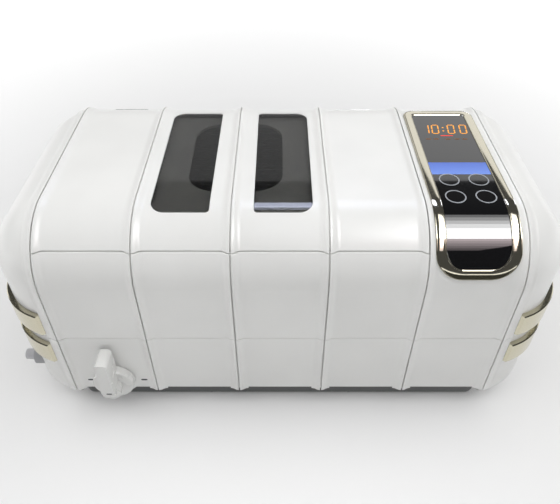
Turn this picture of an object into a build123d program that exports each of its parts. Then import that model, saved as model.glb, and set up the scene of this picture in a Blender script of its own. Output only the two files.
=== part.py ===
from build123d import *
from math import cos, radians, sin, sqrt
import os

# Bench ultrasonic cleaner. Millimetres, +X to the right of the front, +Y to the back, +Z up.
# Z = 0 is the table under the rubber feet; X = 0 and Y = 0 are the middle of the housing until
# export, where everything moves in Y so that the origin sits under the middle of the outline.

# ---- outer housing -------------------------------------------------------------------------
housing_length = 423.0
housing_depth = 212.0
seam_z = 88.0                # joint between the upper and the lower housing
skirt_z = 24.5               # lower edge of the front and back walls
cap_bottom_z = 6.0           # lowest point of the rounded end caps
plan_radius = 48.0
shoulder_radius = 46.0
cap_bottom_radius = 18.0
wall = 3.0
seam_groove = (0.5, 0.6)     # height and depth of the line between the two housings

# ---- ribs: six ridges with a central groove ------------------------------------------------
rib_pitch = 68.0
rib_count = 6
rib_width = 15.0
rib_height = 2.2
rib_drop = 2.0               # how far the ribs run on below the wall's lower edge
groove_width = 1.0
groove_depth = 2.6           # from the crest

# ---- lid and its opening -------------------------------------------------------------------
lid_seam_drop = 17.5         # front and back edge of the lid below the top
lid_gap = 1.0                # visible gap all round the lid, the width of a groove
lid_wall = 3.0
lid_skirt_wall = 2.0
lid_skirt_drop = 4.0         # how far the side skirts run on below the seam
lid_skirt_back_inset = 22.0  # the side skirts end this far before the back, clear of the hinged edge
window_inner = 15.5          # from the lid's middle rib to the inner edge of each window
window_outer = 57.3
window_front_inset = 33.0
window_back_inset = 41.0
window_outer_radius = 10.0
window_inner_radius = 3.0
lens_thickness = 2.0
lens_margin = 5.0
lens_recess = 0.4            # raised part of the lens below the skin
lens_gap = 0.3               # round the raised part
glue_gap = 0.1
liner_plate_drop = 8.0       # top of the liner plate below the top
liner_wall = 2.0
liner_opening = (72.0, 98.0)
liner_opening_y = 6.0
liner_opening_radius = 22.0
seal_width = 4.0
seal_offset = 1.5            # from the tank wall to the inner edge of the seal
liner_boss_radius = 4.0
liner_boss_inset = (25.0, 12.5)

# ---- tank ----------------------------------------------------------------------------------
tank_length = 240.0
tank_depth = 135.0
tank_height = 100.0
tank_wall = 1.0
tank_corner_radius = 20.0
tank_bottom_radius = 12.0
tank_flange_width = 13.0
lid_space = 26.0             # from the deck that carries the tank to the top of the lid
deck_thickness = 3.0
gasket_thickness = 1.0
gasket_width = 8.0
tank_clearance = 0.5         # between the tank wall and the deck opening
tank_screw_inset = 3.5       # from the flange edge

# ---- basket --------------------------------------------------------------------------------
basket_clearance = 15.5      # between the basket and the tank walls
basket_height = 60.0
basket_wall = 1.0
basket_radius = 12.0
basket_foot_height = 12.0
basket_foot_radius = 4.0
basket_slot = (14.0, 4.0)
basket_slot_pitch = (20.0, 10.0)

# ---- transducers under the tank ------------------------------------------------------------
transducer_count = 2
transducer_pitch = 120.0
horn_top_radius = 22.5
horn_low_radius = 19.0
horn_height = 20.0
piezo_radius = 19.0
piezo_bore = 7.5
piezo_thickness = 5.0
electrode_thickness = 0.4
electrode_tab = 8.0
back_mass_height = 14.0
transducer_bolt_radius = 4.0
transducer_head_radius = 6.5
transducer_head_height = 5.0
transducer_clearance = 5.2   # between the bolt heads and the base pan
heater_size = (180.0, 50.0)
heater_thickness = 1.5
sensor_radius = 4.0
sensor_length = 14.0

# ---- handles -------------------------------------------------------------------------------
handle_offset = 4.0          # outer face of the bars beyond the housing skin
handle_inner = 3.0           # the free span is this much thicker, inwards
handle_height = 20.6
handle_gap = 12.4            # between the two bars of one end
handle_end_gap = 0.6         # between the rib and the end of a bar
handle_bevel = 2.4
handle_edge = 0.8
pocket_half_width = 46.0
pocket_depth = 22.0
pocket_margin = 9.6          # of the pocket above and below the bars
pocket_radius = 10.0
handle_screw_margin = 4.0    # from the pocket's wall to the screws

# ---- control panel -------------------------------------------------------------------------
bezel_width = 59.0
bezel_rim = 7.2
bezel_back_inset = 39.2
bezel_drop = 35.7            # lower end of the bezel below the top
bezel_height = 1.8
bezel_back_radius = 9.0
bezel_low_radius = 20.0
glass_back_radius = 3.0
glass_low_radius = 14.0
glass_rise = 0.8             # glass surface above the housing skin
glass_gap = 0.15
panel_hole_inset = 2.5       # the hole in the housing is this much inside the glass outline
key_radius = 7.5
key_ring_width = 0.9
key_ring_height = 0.12
key_spacing = 21.8
key_insets = (48.2, 69.0)    # rows of keys, from the front
display_size = (37.0, 17.0)
display_inset = 142.8
board_thickness = 1.6
board_drop = 16.0            # underside of the control board below the top
control_board_size = (50.0, 100.0)
control_board_inset = 102.0
board_boss_radius = 2.4
board_screw_length = 7.0

# ---- drain valve, knob, spout --------------------------------------------------------------
valve_rise = 13.5            # valve axis above the lower edge of the wall
valve_inset = 24.0           # flow line behind the front
ball_radius = 9.5
chamber_clearance = 0.3
valve_wall = 3.2
valve_relief = 1.0           # room for the valve body in the flange below it
valve_end_wall = 4.0
seat_cover = 2.0             # how far the seats reach over the ball
seat_length = 5.5
flow_radius = 4.0
stem_radius = 3.0
stem_fit = 0.04
neck_radius = 6.5
neck_front = 3.5             # neck beyond the front wall
nut_across = 17.0
nut_thickness = 3.0
bulge_radius = 20.5          # local bulge of the front wall round the valve
knob_radius = 16.5
knob_thickness = 7.0
knob_gap = 0.6
knob_recess_radius = 11.5
knob_recess_depth = 4.5
lever_width = 10.0
lever_height = 40.0
lever_proud = 19.5
hub_radius = 8.0
spout_radius = 4.5
spout_tube_radius = 5.5
spout_bore = 3.0
spout_proud = 4.5            # tip beyond the end cap
spout_nozzle = 8.5
grommet_radius = 8.0
grommet_length = 9.0
hose_radius = 6.0
hose_bore = 4.2
tail_bore = 2.8
drain_offset = 54.0          # drain hole left of the lid's middle
drain_inset = 23.5           # drain hole behind the tank's front wall
drain_bend = 13.0

# ---- hinges --------------------------------------------------------------------------------
hinge_angle = 64.0           # of the axis round the back shoulder, from the vertical
hinge_clearance = 0.4        # between the barrel and the skin
barrel_radius = 3.2
pin_radius = 1.6
pin_fit = 0.03
hinge_width = 30.0
knuckle_width = 9.6
knuckle_gap = 0.3
leaf_thickness = 1.2
lid_leaf_angles = (-24.0, -5.5)      # reach of each leaf from the axis, round the shoulder
housing_leaf_angles = (5.5, 22.0)
lid_screw_angle = -18.5
housing_screw_angle = 15.0
hinge_screw_spacing = 18.0
hinge_head_radius = 2.5

# ---- fan, power parts ----------------------------------------------------------------------
fan_z = 58.0
fan_size = 50.0
fan_thickness = 15.0
fan_bore = 23.5
fan_hole_pitch = 40.0
fan_hub_radius = 11.0
fan_tip_radius = 22.7
fan_blades = 7
fan_axle_radius = 1.5
fan_axle_fit = 0.04
vent_slot = 3.0
vent_pitch = 6.0
inlet_z = 58.0
inlet_size = (27.0, 20.0)
inlet_depth = 26.0
inlet_flange = (50.0, 23.0)
inlet_hole_pitch = 40.0
inlet_flange_thickness = 3.0
inlet_flange_radius = 4.0
inlet_walls = (1.5, 2.0)     # of the socket, beside and above
inlet_socket_depth = 17.0
inlet_blade_size = (2.0, 4.0)
inlet_blade_places = ((-7.0, -1.5), (0.0, 2.5), (7.0, -1.5))
inlet_blade_recess = 3.0     # blade tips behind the flange
inlet_tag = 6.0              # solder tags behind the body
power_board_size = (58.0, 110.0)
power_board_rise = 8.0       # above the floor of the base pan
power_board_inset = 5.0
transformer_radius = 17.0
transformer_hole = 6.0
transformer_height = 16.0
transformer_y = 32.0
sink_size = (46.0, 22.0, 26.0)
sink_y = -8.0
sink_fins = 5
capacitor_radius = 8.0
capacitor_height = 24.0
capacitor_ys = (-46.0, -28.0)

# ---- base pan, feet, fasteners -------------------------------------------------------------
pan_inset = 8.0
pan_z = 3.0
pan_wall = 3.0
pan_cap_inset = 24.0
foot_radius = 10.0
foot_stem_radius = 3.0
foot_inset = (61.5, 36.0)    # foot centres from the ends and from the front and back
base_screw_spacing = 120.0
screw_radius = 1.5
screw_head_radius = 2.8
screw_head_height = 1.8
screw_fit = 0.2

# ---- derived places ------------------------------------------------------------------------
half_x = housing_length / 2
half_y = housing_depth / 2
pan_floor_z = pan_z + pan_wall
stack_height = (horn_height + 2 * piezo_thickness + 2 * electrode_thickness + back_mass_height
                + transducer_head_height)
horn_top_z = pan_floor_z + transducer_clearance + stack_height
tank_floor_z = horn_top_z + tank_wall
flange_top_z = tank_floor_z + tank_height
deck_z = flange_top_z - tank_wall - gasket_thickness
top_z = deck_z + lid_space
rib_xs = [rib_pitch * (i - (rib_count - 1) / 2) for i in range(rib_count)]
bay_xs = [(a + b) / 2 for a, b in zip(rib_xs, rib_xs[1:])]
valve_x, inlet_x, fan_x = bay_xs[0], bay_xs[3], bay_xs[4]
panel_x = bay_xs[4]
power_board_x = bay_xs[4]
lid_left = rib_xs[0] + lid_gap / 2
lid_right = rib_xs[4] - lid_gap / 2
lid_x = rib_xs[2]
lid_seam_z = top_z - lid_seam_drop
lid_skirt_z = lid_seam_z - lid_skirt_drop
liner_plate_top_z = top_z - liner_plate_drop
window_front_y = window_front_inset - half_y
window_back_y = half_y - window_back_inset
liner_screw_span = (tank_length - 2 * liner_boss_inset[0], tank_depth - 2 * liner_boss_inset[1])
basket_length = tank_length - 2 * basket_clearance
basket_width = tank_depth - 2 * basket_clearance
basket_base_z = tank_floor_z + basket_foot_height
upper_handle_z = seam_z - 1.6 + handle_gap / 2
lower_handle_z = upper_handle_z - handle_gap - handle_height
pocket_low_z = lower_handle_z - pocket_margin
pocket_high_z = upper_handle_z + handle_height + pocket_margin
handle_screw_y = pocket_half_width + wall + handle_screw_margin
bezel_back_y = half_y - bezel_back_inset
bezel_low_z = top_z - bezel_drop
glass_width = bezel_width - 2 * bezel_rim
glass_back_y = bezel_back_y - bezel_rim
glass_low_z = bezel_low_z + bezel_rim
key_ys = [inset - half_y for inset in key_insets]
display_y = display_inset - half_y
control_board_z = top_z - board_drop
board_top_z = control_board_z + board_thickness
control_board_y = control_board_inset - half_y
valve_z = skirt_z + valve_rise
valve_y = valve_inset - half_y
valve_chamber_radius = ball_radius + chamber_clearance
valve_radius = valve_chamber_radius + valve_wall
valve_length = 2 * (ball_radius - seat_cover + seat_length + valve_end_wall)
lever_top_z = valve_z + lever_height
spout_tip_x = -half_x - spout_proud
drain_x = lid_x - drain_offset
drain_y = drain_inset - tank_depth / 2
hinge_reach = shoulder_radius + hinge_clearance + barrel_radius
hinge_y = half_y - shoulder_radius + hinge_reach * sin(radians(hinge_angle))
hinge_z = top_z - shoulder_radius + hinge_reach * cos(radians(hinge_angle))
hinge_xs = [bay_xs[0], bay_xs[3]]
foot_span = (housing_length - 2 * foot_inset[0], housing_depth - 2 * foot_inset[1])
base_screw_span = (base_screw_spacing, housing_depth - 2 * (pan_inset + 2 * wall))
power_board_z = pan_floor_z + power_board_rise
back_proud = inlet_flange_thickness + screw_head_height
y_shift = (lever_proud - back_proud) / 2
far = 400.0


# ---- shapes used by several pieces ---------------------------------------------------------
def span_box(x0, x1, y0, y1, z0, z1):
    """Box between two corners."""
    centre = ((x0 + x1) / 2, (y0 + y1) / 2, (z0 + z1) / 2)
    return Pos(*centre) * Box(abs(x1 - x0), abs(y1 - y0), abs(z1 - z0))


def rounded_plate(length, depth, radius, z0, z1, x=0.0, y=0.0):
    """Upright prism with rounded corners between two heights."""
    plate = extrude(RectangleRounded(length, depth, radius), z1 - z0)
    return Pos(x, y, z0) * plate


def housing_block(inset, z0=cap_bottom_z):
    """The smooth outline of the housing, moved inwards by inset."""
    low = z0 + inset
    high = top_z - inset
    block = Box(housing_length - 2 * inset, housing_depth - 2 * inset, high - low)
    block = Pos(0, 0, (low + high) / 2) * block
    block = fillet(block.edges().filter_by(Axis.Z), plan_radius - inset)
    block = fillet(block.faces().sort_by(Axis.Z)[-1].edges(), shoulder_radius - inset)
    return fillet(block.faces().sort_by(Axis.Z)[0].edges(), cap_bottom_radius - inset)


def shoulder_slab(offset, x0, x1):
    """Everything under the top and between the front and back faces, moved outwards by offset."""
    slab = span_box(x0, x1, -half_y - offset, half_y + offset, -far, top_z + offset)
    edges = slab.edges().filter_by(Axis.X).group_by(Axis.Z)[-1]
    return fillet(edges, shoulder_radius + offset)


def shoulder_band(low, high, x0, x1):
    """Layer that follows the front, top and back between two offsets from the skin."""
    return shoulder_slab(high, x0, x1) - shoulder_slab(low, x0, x1)


def cylinder_x(radius, x0, x1, y, z):
    return Pos((x0 + x1) / 2, y, z) * Rot(0, 90, 0) * Cylinder(radius, abs(x1 - x0))


def cylinder_y(radius, y0, y1, x, z):
    return Pos(x, (y0 + y1) / 2, z) * Rot(90, 0, 0) * Cylinder(radius, abs(y1 - y0))


def cylinder_z(radius, z0, z1, x, y):
    return Pos(x, y, (z0 + z1) / 2) * Cylinder(radius, abs(z1 - z0))


def corners(span, x=0.0, y=0.0):
    """The four corners of a rectangle of the given size."""
    return [(x + i * span[0] / 2, y + j * span[1] / 2) for i in (-1, 1) for j in (-1, 1)]


def screw_z(x, y, z, length, up=1):
    """Screw whose head seats at z and whose shank runs length mm towards up."""
    shank = cylinder_z(screw_radius, z, z + up * length, x, y)
    head = cylinder_z(screw_head_radius, z - up * screw_head_height, z, x, y)
    return shank + head


def screw_y(x, z, y, length, way=1):
    """Screw along Y whose head seats at y and whose shank runs length mm towards way."""
    shank = cylinder_y(screw_radius, y, y + way * length, x, z)
    head = cylinder_y(screw_head_radius, y - way * screw_head_height, y, x, z)
    return shank + head


def rib_path(x):
    """Centre line of a rib over the front, the top and the back."""
    low = skirt_z - rib_drop
    bend = top_z - shoulder_radius
    flat = half_y - shoulder_radius
    diagonal = shoulder_radius * sin(radians(45))
    front = Line((x, -half_y, low), (x, -half_y, bend))
    front_arc = ThreePointArc((x, -half_y, bend), (x, -flat - diagonal, bend + diagonal), (x, -flat, top_z))
    over = Line((x, -flat, top_z), (x, flat, top_z))
    back_arc = ThreePointArc((x, flat, top_z), (x, flat + diagonal, bend + diagonal), (x, half_y, bend))
    back = Line((x, half_y, bend), (x, half_y, low))
    return Wire([*front.edges(), *front_arc.edges(), *over.edges(), *back_arc.edges(), *back.edges()])


def rib(x):
    """Ridge that follows the front, top and back; its crest and toes are equal tangent arcs."""
    low = skirt_z - rib_drop
    half = rib_width / 2
    radius = (half ** 2 + rib_height ** 2) / (4 * rib_height)
    rise = radius - sqrt(radius ** 2 - half ** 2 / 16)
    root = half_y - wall + groove_width / 2
    toe = ((half, 0), (0.75 * half, rise), (half / 2, rib_height / 2))
    crest = ((half / 2, rib_height / 2), (0, rib_height), (-half / 2, rib_height / 2))
    far_toe = tuple((-u, v) for u, v in reversed(toe))
    arcs = [ThreePointArc(*[(x + u, -half_y - v, low) for u, v in arc]) for arc in (toe, crest, far_toe)]
    foot = Polyline((x - half, -half_y, low), (x - half, -root, low), (x + half, -root, low),
                    (x + half, -half_y, low))
    section = make_face([edge for line in (*arcs, foot) for edge in line.edges()])
    return sweep(section, path=rib_path(x))


def grooves():
    """Cutters for the grooves along the crests of the ribs."""
    low = rib_height - groove_depth
    return [shoulder_band(low, rib_height + 1, x - groove_width / 2, x + groove_width / 2) for x in rib_xs]


def lid_region(gap):
    """Space of the lid; gap is how far its edges stay inside the opening in the housing."""
    return span_box(lid_left - lid_gap + gap, lid_right + lid_gap - gap, -far, far,
                    lid_seam_z - lid_gap / 2 + gap, far)


def ribbed_skin():
    """The whole outer form of the housing and lid as one solid blank."""
    blank = housing_block(0)
    for x in rib_xs:
        blank = blank + rib(x)
    for groove in grooves():
        blank = blank - groove
    height, depth = seam_groove
    line = span_box(-far, far, -far, far, seam_z - height / 2, seam_z + height / 2)
    return blank - (line - housing_block(depth))


def end_pocket(side, grow):
    """Finger pocket behind the handle bars; grow widens it by the wall of the housing."""
    half = pocket_half_width + grow
    low = pocket_low_z - grow
    high = pocket_high_z + grow
    inner = half_x - pocket_depth - grow
    block = span_box(side * inner, side * (half_x + 1), -half, half, low, high)
    edges = block.edges().filter_by(Axis.X)
    return fillet(edges, pocket_radius + grow)


def panel_outline(width, back_y, low_z, back_radius, low_radius, grow=0.0):
    """Space inside the outline of the control panel, rounded at the far end and at the bottom."""
    x0 = panel_x - width / 2 - grow
    x1 = panel_x + width / 2 + grow
    seen_from_top = span_box(x0, x1, -far, back_y + grow, 0, far)
    far_corners = seen_from_top.edges().filter_by(Axis.Z).group_by(Axis.Y)[-1]
    seen_from_top = fillet(far_corners, back_radius + grow)
    seen_from_front = span_box(x0, x1, -far, far, low_z - grow, far)
    low_corners = seen_from_front.edges().filter_by(Axis.Y).group_by(Axis.Z)[0]
    seen_from_front = fillet(low_corners, low_radius + grow)
    return seen_from_top & seen_from_front


def bezel_seat():
    """Cut that flattens the edges of the neighbouring ribs under the bezel."""
    outline = panel_outline(bezel_width, bezel_back_y, bezel_low_z, bezel_back_radius, bezel_low_radius,
                            glass_gap)
    x0 = panel_x - bezel_width / 2 - 1
    x1 = panel_x + bezel_width / 2 + 1
    return shoulder_band(0, rib_height + 1, x0, x1) & outline


def board_screw_places():
    """Four bosses under the top that hold the control board, outside the panel hole."""
    inset = board_boss_radius + 0.3
    span = (control_board_size[0] - 2 * inset, control_board_size[1] - 2 * inset)
    return corners(span, panel_x, control_board_y)


def vent_slots(y0, y1):
    """Horizontal slots in the back wall over the fan's bore."""
    slots = []
    count = int(fan_bore / vent_pitch)
    for i in range(-count, count + 1):
        half = sqrt(fan_bore ** 2 - (i * vent_pitch) ** 2)
        z = fan_z + i * vent_pitch
        slots.append(span_box(fan_x - half, fan_x + half, y0, y1, z - vent_slot / 2, z + vent_slot / 2))
    return slots


def fan_screw_places():
    return [(fan_x + dx, fan_z + dz) for dx, dz in corners((fan_hole_pitch, fan_hole_pitch))]


def inlet_screw_places():
    return [(inlet_x + side * inlet_hole_pitch / 2, inlet_z) for side in (-1, 1)]


def handle_screw_places():
    """Side, Y and Z of each screw that holds a handle bar."""
    heights = [z + handle_height / 2 for z in (upper_handle_z, lower_handle_z)]
    return [(side, y * handle_screw_y, z) for side in (-1, 1) for y in (-1, 1) for z in heights]


def handle_holes():
    """Clearance holes in the end caps for the handle screws."""
    radius = screw_radius + screw_fit
    return [cylinder_x(radius, side * (half_x - wall - 1), side * (half_x + 1), y, z)
            for side, y, z in handle_screw_places()]


def tank_screw_places():
    """Six screws round the tank flange: three along the front and three along the back."""
    reach_x = tank_length / 2 + tank_flange_width - tank_screw_inset
    reach_y = tank_depth / 2 + tank_flange_width - tank_screw_inset
    return [(lid_x + i * reach_x, j * reach_y) for j in (-1, 1) for i in (-1, 0, 1)]


def power_screw_places():
    """Four pillars in the base pan that carry the generator board."""
    span = (power_board_size[0] - 2 * power_board_inset, power_board_size[1] - 2 * power_board_inset)
    return corners(span, power_board_x)


# ---- housing -------------------------------------------------------------------------------
def below_skirt(middle):
    """Space under the front and back walls, between the two end caps."""
    return span_box(-middle, middle, -far, far, -far, skirt_z)


def rib_ends():
    """Zones in which the ribs and the wall behind them run on below the skirt."""
    zones = []
    for x in rib_xs:
        half = rib_width / 2
        zone = span_box(x - half, x + half, -far, far, skirt_z - rib_drop, skirt_z)
        zones.append(zone - span_box(-far, far, -half_y + wall, half_y - wall, -far, far))
    return zones


def upper_housing(skin):
    """Top cover with the well for the lid, the deck that carries the tank and the panel hole."""
    shell = (skin & span_box(-far, far, -far, far, seam_z, far)) - housing_block(wall, 0)
    left = lid_left - lid_gap
    right = lid_right + lid_gap
    well = span_box(left - wall, right + wall, -far, far, deck_z - deck_thickness, far)
    well = well - span_box(left, right, -far, far, deck_z, 2 * far)
    well = well & housing_block(wall - 1)
    pockets = [end_pocket(side, wall) & housing_block(wall - 1) for side in (-1, 1)]
    pockets = [pocket & span_box(-far, far, -far, far, seam_z, far) for pocket in pockets]
    body = shell + well + pockets[0] + pockets[1]
    body = body - lid_region(0)
    for side in (-1, 1):
        body = body - end_pocket(side, 0)
    opening = 2 * (tank_wall + tank_clearance)
    body = body - rounded_plate(tank_length + opening, tank_depth + opening, tank_corner_radius + opening / 2,
                                deck_z - 20, deck_z + 20, lid_x)
    body = body - panel_outline(glass_width, glass_back_y, glass_low_z, glass_back_radius, glass_low_radius,
                                -panel_hole_inset)
    body = body - bezel_seat()
    for x, y in board_screw_places():
        body = body + ring_z(board_boss_radius, screw_radius, board_top_z, top_z - wall + 0.5, x, y)
    for hole in handle_holes():
        body = body - hole
    for x, y in tank_screw_places():
        body = body - cylinder_z(screw_radius, deck_z - 10, deck_z + 1, x, y)
    for x, angle in hinge_screw_places(housing_screw_angle):
        body = body - hinge_screw_hole(x, angle)
    return body


def lower_housing(skin):
    """Lower shell: walls with ribs, rounded end caps and the bulge round the drain valve."""
    shell = (skin & span_box(-far, far, -far, far, -far, seam_z)) - housing_block(wall)
    middle = rib_xs[-1]
    body = shell - (below_skirt(middle) - rib_ends())
    inner = half_y - pan_inset - 2 * wall
    flange = span_box(-middle, middle, -half_y + wall / 2, half_y - wall / 2, skirt_z, skirt_z + wall)
    flange = flange - span_box(-far, far, -inner, inner, 0, far)
    reach = valve_length / 2 + valve_relief
    body = body + (flange - cylinder_x(valve_radius + valve_relief, valve_x - reach, valve_x + reach,
                                       valve_y, valve_z))
    bulge = cylinder_y(bulge_radius, -half_y, -half_y + wall, valve_x, valve_z)
    body = body + bulge
    for side in (-1, 1):
        pocket = end_pocket(side, wall) & housing_block(wall - 1)
        body = body + (pocket & span_box(-far, far, -far, far, -far, seam_z))
    for side in (-1, 1):
        body = body - end_pocket(side, 0)
    for hole in handle_holes():
        body = body - hole
    for x, y in corners(base_screw_span):
        body = body + cylinder_z(screw_head_radius + 1, skirt_z, skirt_z + 10, x, y)
        body = body - cylinder_z(screw_radius, skirt_z - 1, skirt_z + 9, x, y)
    body = body - cylinder_y(neck_radius + screw_fit, -half_y - 1, -half_y + wall + 1, valve_x, valve_z)
    body = body - cylinder_x(grommet_radius, -half_x - 1, valve_x - valve_length / 2 - 5, valve_y, valve_z)
    for slot in vent_slots(half_y - wall - 1, half_y + 1):
        body = body - slot
    for x, z in fan_screw_places() + inlet_screw_places():
        body = body - cylinder_y(screw_radius, half_y - wall - 1, half_y + 1, x, z)
    body = body - span_box(inlet_x - inlet_size[0] / 2 - screw_fit, inlet_x + inlet_size[0] / 2 + screw_fit,
                           half_y - wall - 1, half_y + 1,
                           inlet_z - inlet_size[1] / 2 - screw_fit, inlet_z + inlet_size[1] / 2 + screw_fit)
    return body


def base_pan():
    """Shallow tray that closes the housing from below and carries the feet."""
    middle = rib_xs[-1] - glue_gap
    depth = housing_depth - 2 * pan_inset
    floor = rounded_plate(2 * middle, depth, 3 * pan_wall, pan_z, skirt_z)
    floor = fillet(floor.faces().sort_by(Axis.Z)[0].edges(), pan_wall)
    tray = floor - rounded_plate(2 * (middle - pan_wall), depth - 2 * pan_wall, 2 * pan_wall,
                                 pan_floor_z, far)
    reach = housing_length - 2 * pan_cap_inset
    tongues = rounded_plate(reach, depth - 2 * pan_cap_inset, plan_radius / 2, pan_z, pan_floor_z)
    side_gap = span_box(-far, far, -depth / 2 + pan_cap_inset, depth / 2 - pan_cap_inset, pan_floor_z, far)
    tray = tray - (side_gap - span_box(-middle + pan_wall, middle - pan_wall, -far, far, 0, far))
    tray = tray + tongues
    for x, y in corners(base_screw_span):
        tray = tray + cylinder_z(screw_head_radius + 2, pan_z, skirt_z, x, y)
        tray = tray - cylinder_z(screw_radius + screw_fit, 0, far, x, y)
        tray = tray - cylinder_z(screw_head_radius + screw_fit, 0, pan_floor_z, x, y)
    for x, y in corners(foot_span):
        tray = tray - cylinder_z(foot_stem_radius + screw_fit / 2, 0, far, x, y)
    for x, y in power_screw_places():
        tray = tray + ring_z(screw_head_radius, screw_radius, pan_floor_z, power_board_z, x, y)
    return tray


def base_screws():
    head_z = pan_floor_z
    return [screw_z(x, y, head_z, skirt_z + wall + 5 - head_z) for x, y in corners(base_screw_span)]


def rubber_feet():
    """Round feet with a stem pressed into the base pan."""
    return [cylinder_z(foot_radius, 0, pan_z, x, y) + cylinder_z(foot_stem_radius, pan_z, pan_floor_z, x, y)
            for x, y in corners(foot_span)]


# ---- lid -----------------------------------------------------------------------------------
def window_outline(side, gap):
    """One of the two windows, shrunk by gap: large corner radii outside, small ones by the middle rib."""
    x0 = lid_x + side * (window_inner + gap)
    x1 = lid_x + side * (window_outer - gap)
    block = span_box(x0, x1, window_front_y + gap, window_back_y - gap, lid_seam_z, far)
    by_x = block.edges().filter_by(Axis.Z).group_by(Axis.X)
    inner_edges, outer_edges = (by_x[0], by_x[-1]) if side > 0 else (by_x[-1], by_x[0])
    block = fillet(outer_edges, window_outer_radius - gap)
    centre = (x0 + x1) / 2
    inner_edges = [e for e in block.edges().filter_by(Axis.Z)
                   if abs(e.center().X - x0) < abs(centre - x0) / 4]
    return fillet(inner_edges, window_inner_radius - gap)


def lid_shell(skin):
    """Outer shell of the lid with two windows, side skirts and bosses for the inner liner."""
    region = lid_region(lid_gap)
    shell = (skin & region) - shoulder_slab(-lid_wall, -far, far)
    skirt_back_y = half_y - lid_skirt_back_inset
    under = shoulder_slab(-lid_wall - lid_gap, -far, far)
    under = under & span_box(-far, far, -far, skirt_back_y, lid_skirt_z, far)
    roof = shoulder_slab(-lid_wall / 2, -far, far)
    roof = roof & span_box(-far, far, -far, far, lid_seam_z + lid_gap, far)
    for x0 in (lid_left, lid_right - lid_skirt_wall):
        strip = span_box(x0, x0 + lid_skirt_wall, -far, far, 0, far)
        shell = shell + (strip & under) + (strip & roof)
    for x, y in corners(liner_screw_span, lid_x):
        shell = shell + cylinder_z(liner_boss_radius, liner_plate_top_z, top_z - lid_wall + 0.5, x, y)
        shell = shell - cylinder_z(screw_radius, 0, top_z - lid_wall + 0.5, x, y)
    for side in (-1, 1):
        shell = shell - window_outline(side, 0)
    for x, angle in hinge_screw_places(lid_screw_angle):
        shell = shell - hinge_screw_hole(x, angle)
    return shell


def lid_window():
    """Smoked lens under both windows; a raised part fills each window almost to the skin."""
    low = -lid_wall - glue_gap
    reach = window_outer + lens_margin
    plate = shoulder_band(low - lens_thickness, low, lid_x - reach, lid_x + reach)
    plate = plate & span_box(-far, far, window_front_y - lens_margin, window_back_y + lens_margin,
                             lid_seam_z, far)
    raised = shoulder_band(low - lens_thickness / 2, -lens_recess, lid_x - reach, lid_x + reach)
    return plate + (raised & window_outline(-1, lens_gap)) + (raised & window_outline(1, lens_gap))


def seal_outline(inset, z0, z1):
    """Prism on the line of the lid seal, moved inwards by inset."""
    grow = 2 * (seal_width + seal_offset - inset)
    length = tank_length + grow
    depth = tank_depth + grow
    return rounded_plate(length, depth, tank_corner_radius + seal_width - inset, z0, z1, lid_x)


def lid_liner():
    """Inner liner: a flat plate with a rounded opening and a skirt that holds the seal."""
    low = flange_top_z + seal_width
    liner = seal_outline(1, low, liner_plate_top_z)
    liner = liner - seal_outline(1 + liner_wall, 0, liner_plate_top_z - liner_wall)
    opening = rounded_plate(*liner_opening, liner_opening_radius, 0, far, lid_x, liner_opening_y)
    liner = liner - opening
    for x, y in corners(liner_screw_span, lid_x):
        liner = liner - cylinder_z(screw_radius + screw_fit, 0, far, x, y)
    return liner


def liner_screws():
    head_z = liner_plate_top_z - liner_wall
    return [screw_z(x, y, head_z, 5) for x, y in corners(liner_screw_span, lid_x)]


def lid_seal():
    low = flange_top_z + glue_gap
    high = flange_top_z + seal_width
    return seal_outline(0, low, high) - seal_outline(seal_width, low, high)


# ---- hinges --------------------------------------------------------------------------------
def hinge_screw_places(angle):
    """X and angle round the shoulder of the hinge screws at the given angle from the axis."""
    half = hinge_screw_spacing / 2
    return [(x + dx, hinge_angle + angle) for x in hinge_xs for dx in (-half, half)]


def on_shoulder(x, angle, offset):
    """Place on the back shoulder whose Z axis points straight out of the skin."""
    radius = shoulder_radius + offset
    y = half_y - shoulder_radius + radius * sin(radians(angle))
    z = top_z - shoulder_radius + radius * cos(radians(angle))
    return Pos(x, y, z) * Rot(-angle, 0, 0)


def hinge_screw_hole(x, angle):
    return on_shoulder(x, angle, 0) * Cylinder(screw_radius, 4 * wall)


def countersink(x, angle, gap):
    """Cone of a countersunk screw head that ends flush with the leaf."""
    height = hinge_head_radius - screw_radius
    top = on_shoulder(x, angle, glue_gap + leaf_thickness - height / 2)
    return top * Cone(screw_radius + gap, hinge_head_radius + gap, height)


def hinge_screws(angle):
    """Countersunk screws of the leaves at the given angle from the axis."""
    length = leaf_thickness + glue_gap + wall
    screws = []
    for x, place in hinge_screw_places(angle):
        middle = on_shoulder(x, place, leaf_thickness + glue_gap - length / 2)
        screws.append(middle * Cylinder(screw_radius, length) + countersink(x, place, 0))
    return screws


def shoulder_sector(x0, x1, angle0, angle1):
    """Leaf of a hinge: a layer on the back shoulder between two angles from the vertical."""
    band = shoulder_band(glue_gap, leaf_thickness + glue_gap, x0, x1)
    after = Pos(x0, half_y - shoulder_radius, top_z - shoulder_radius) * Rot(-angle0, 0, 0)
    before = Pos(x0, half_y - shoulder_radius, top_z - shoulder_radius) * Rot(-angle1, 0, 0)
    keep_after = after * span_box(-far, far, 0, far, -far, far)
    keep_before = before * span_box(-far, far, -far, 0, 0, far)
    return band & keep_after & keep_before


def knuckle(x0, x1, angle0, angle1):
    """Part of the hinge barrel with the strip of leaf that it grows out of."""
    return cylinder_x(barrel_radius, x0, x1, hinge_y, hinge_z) + shoulder_sector(x0, x1, angle0, angle1)


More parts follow.
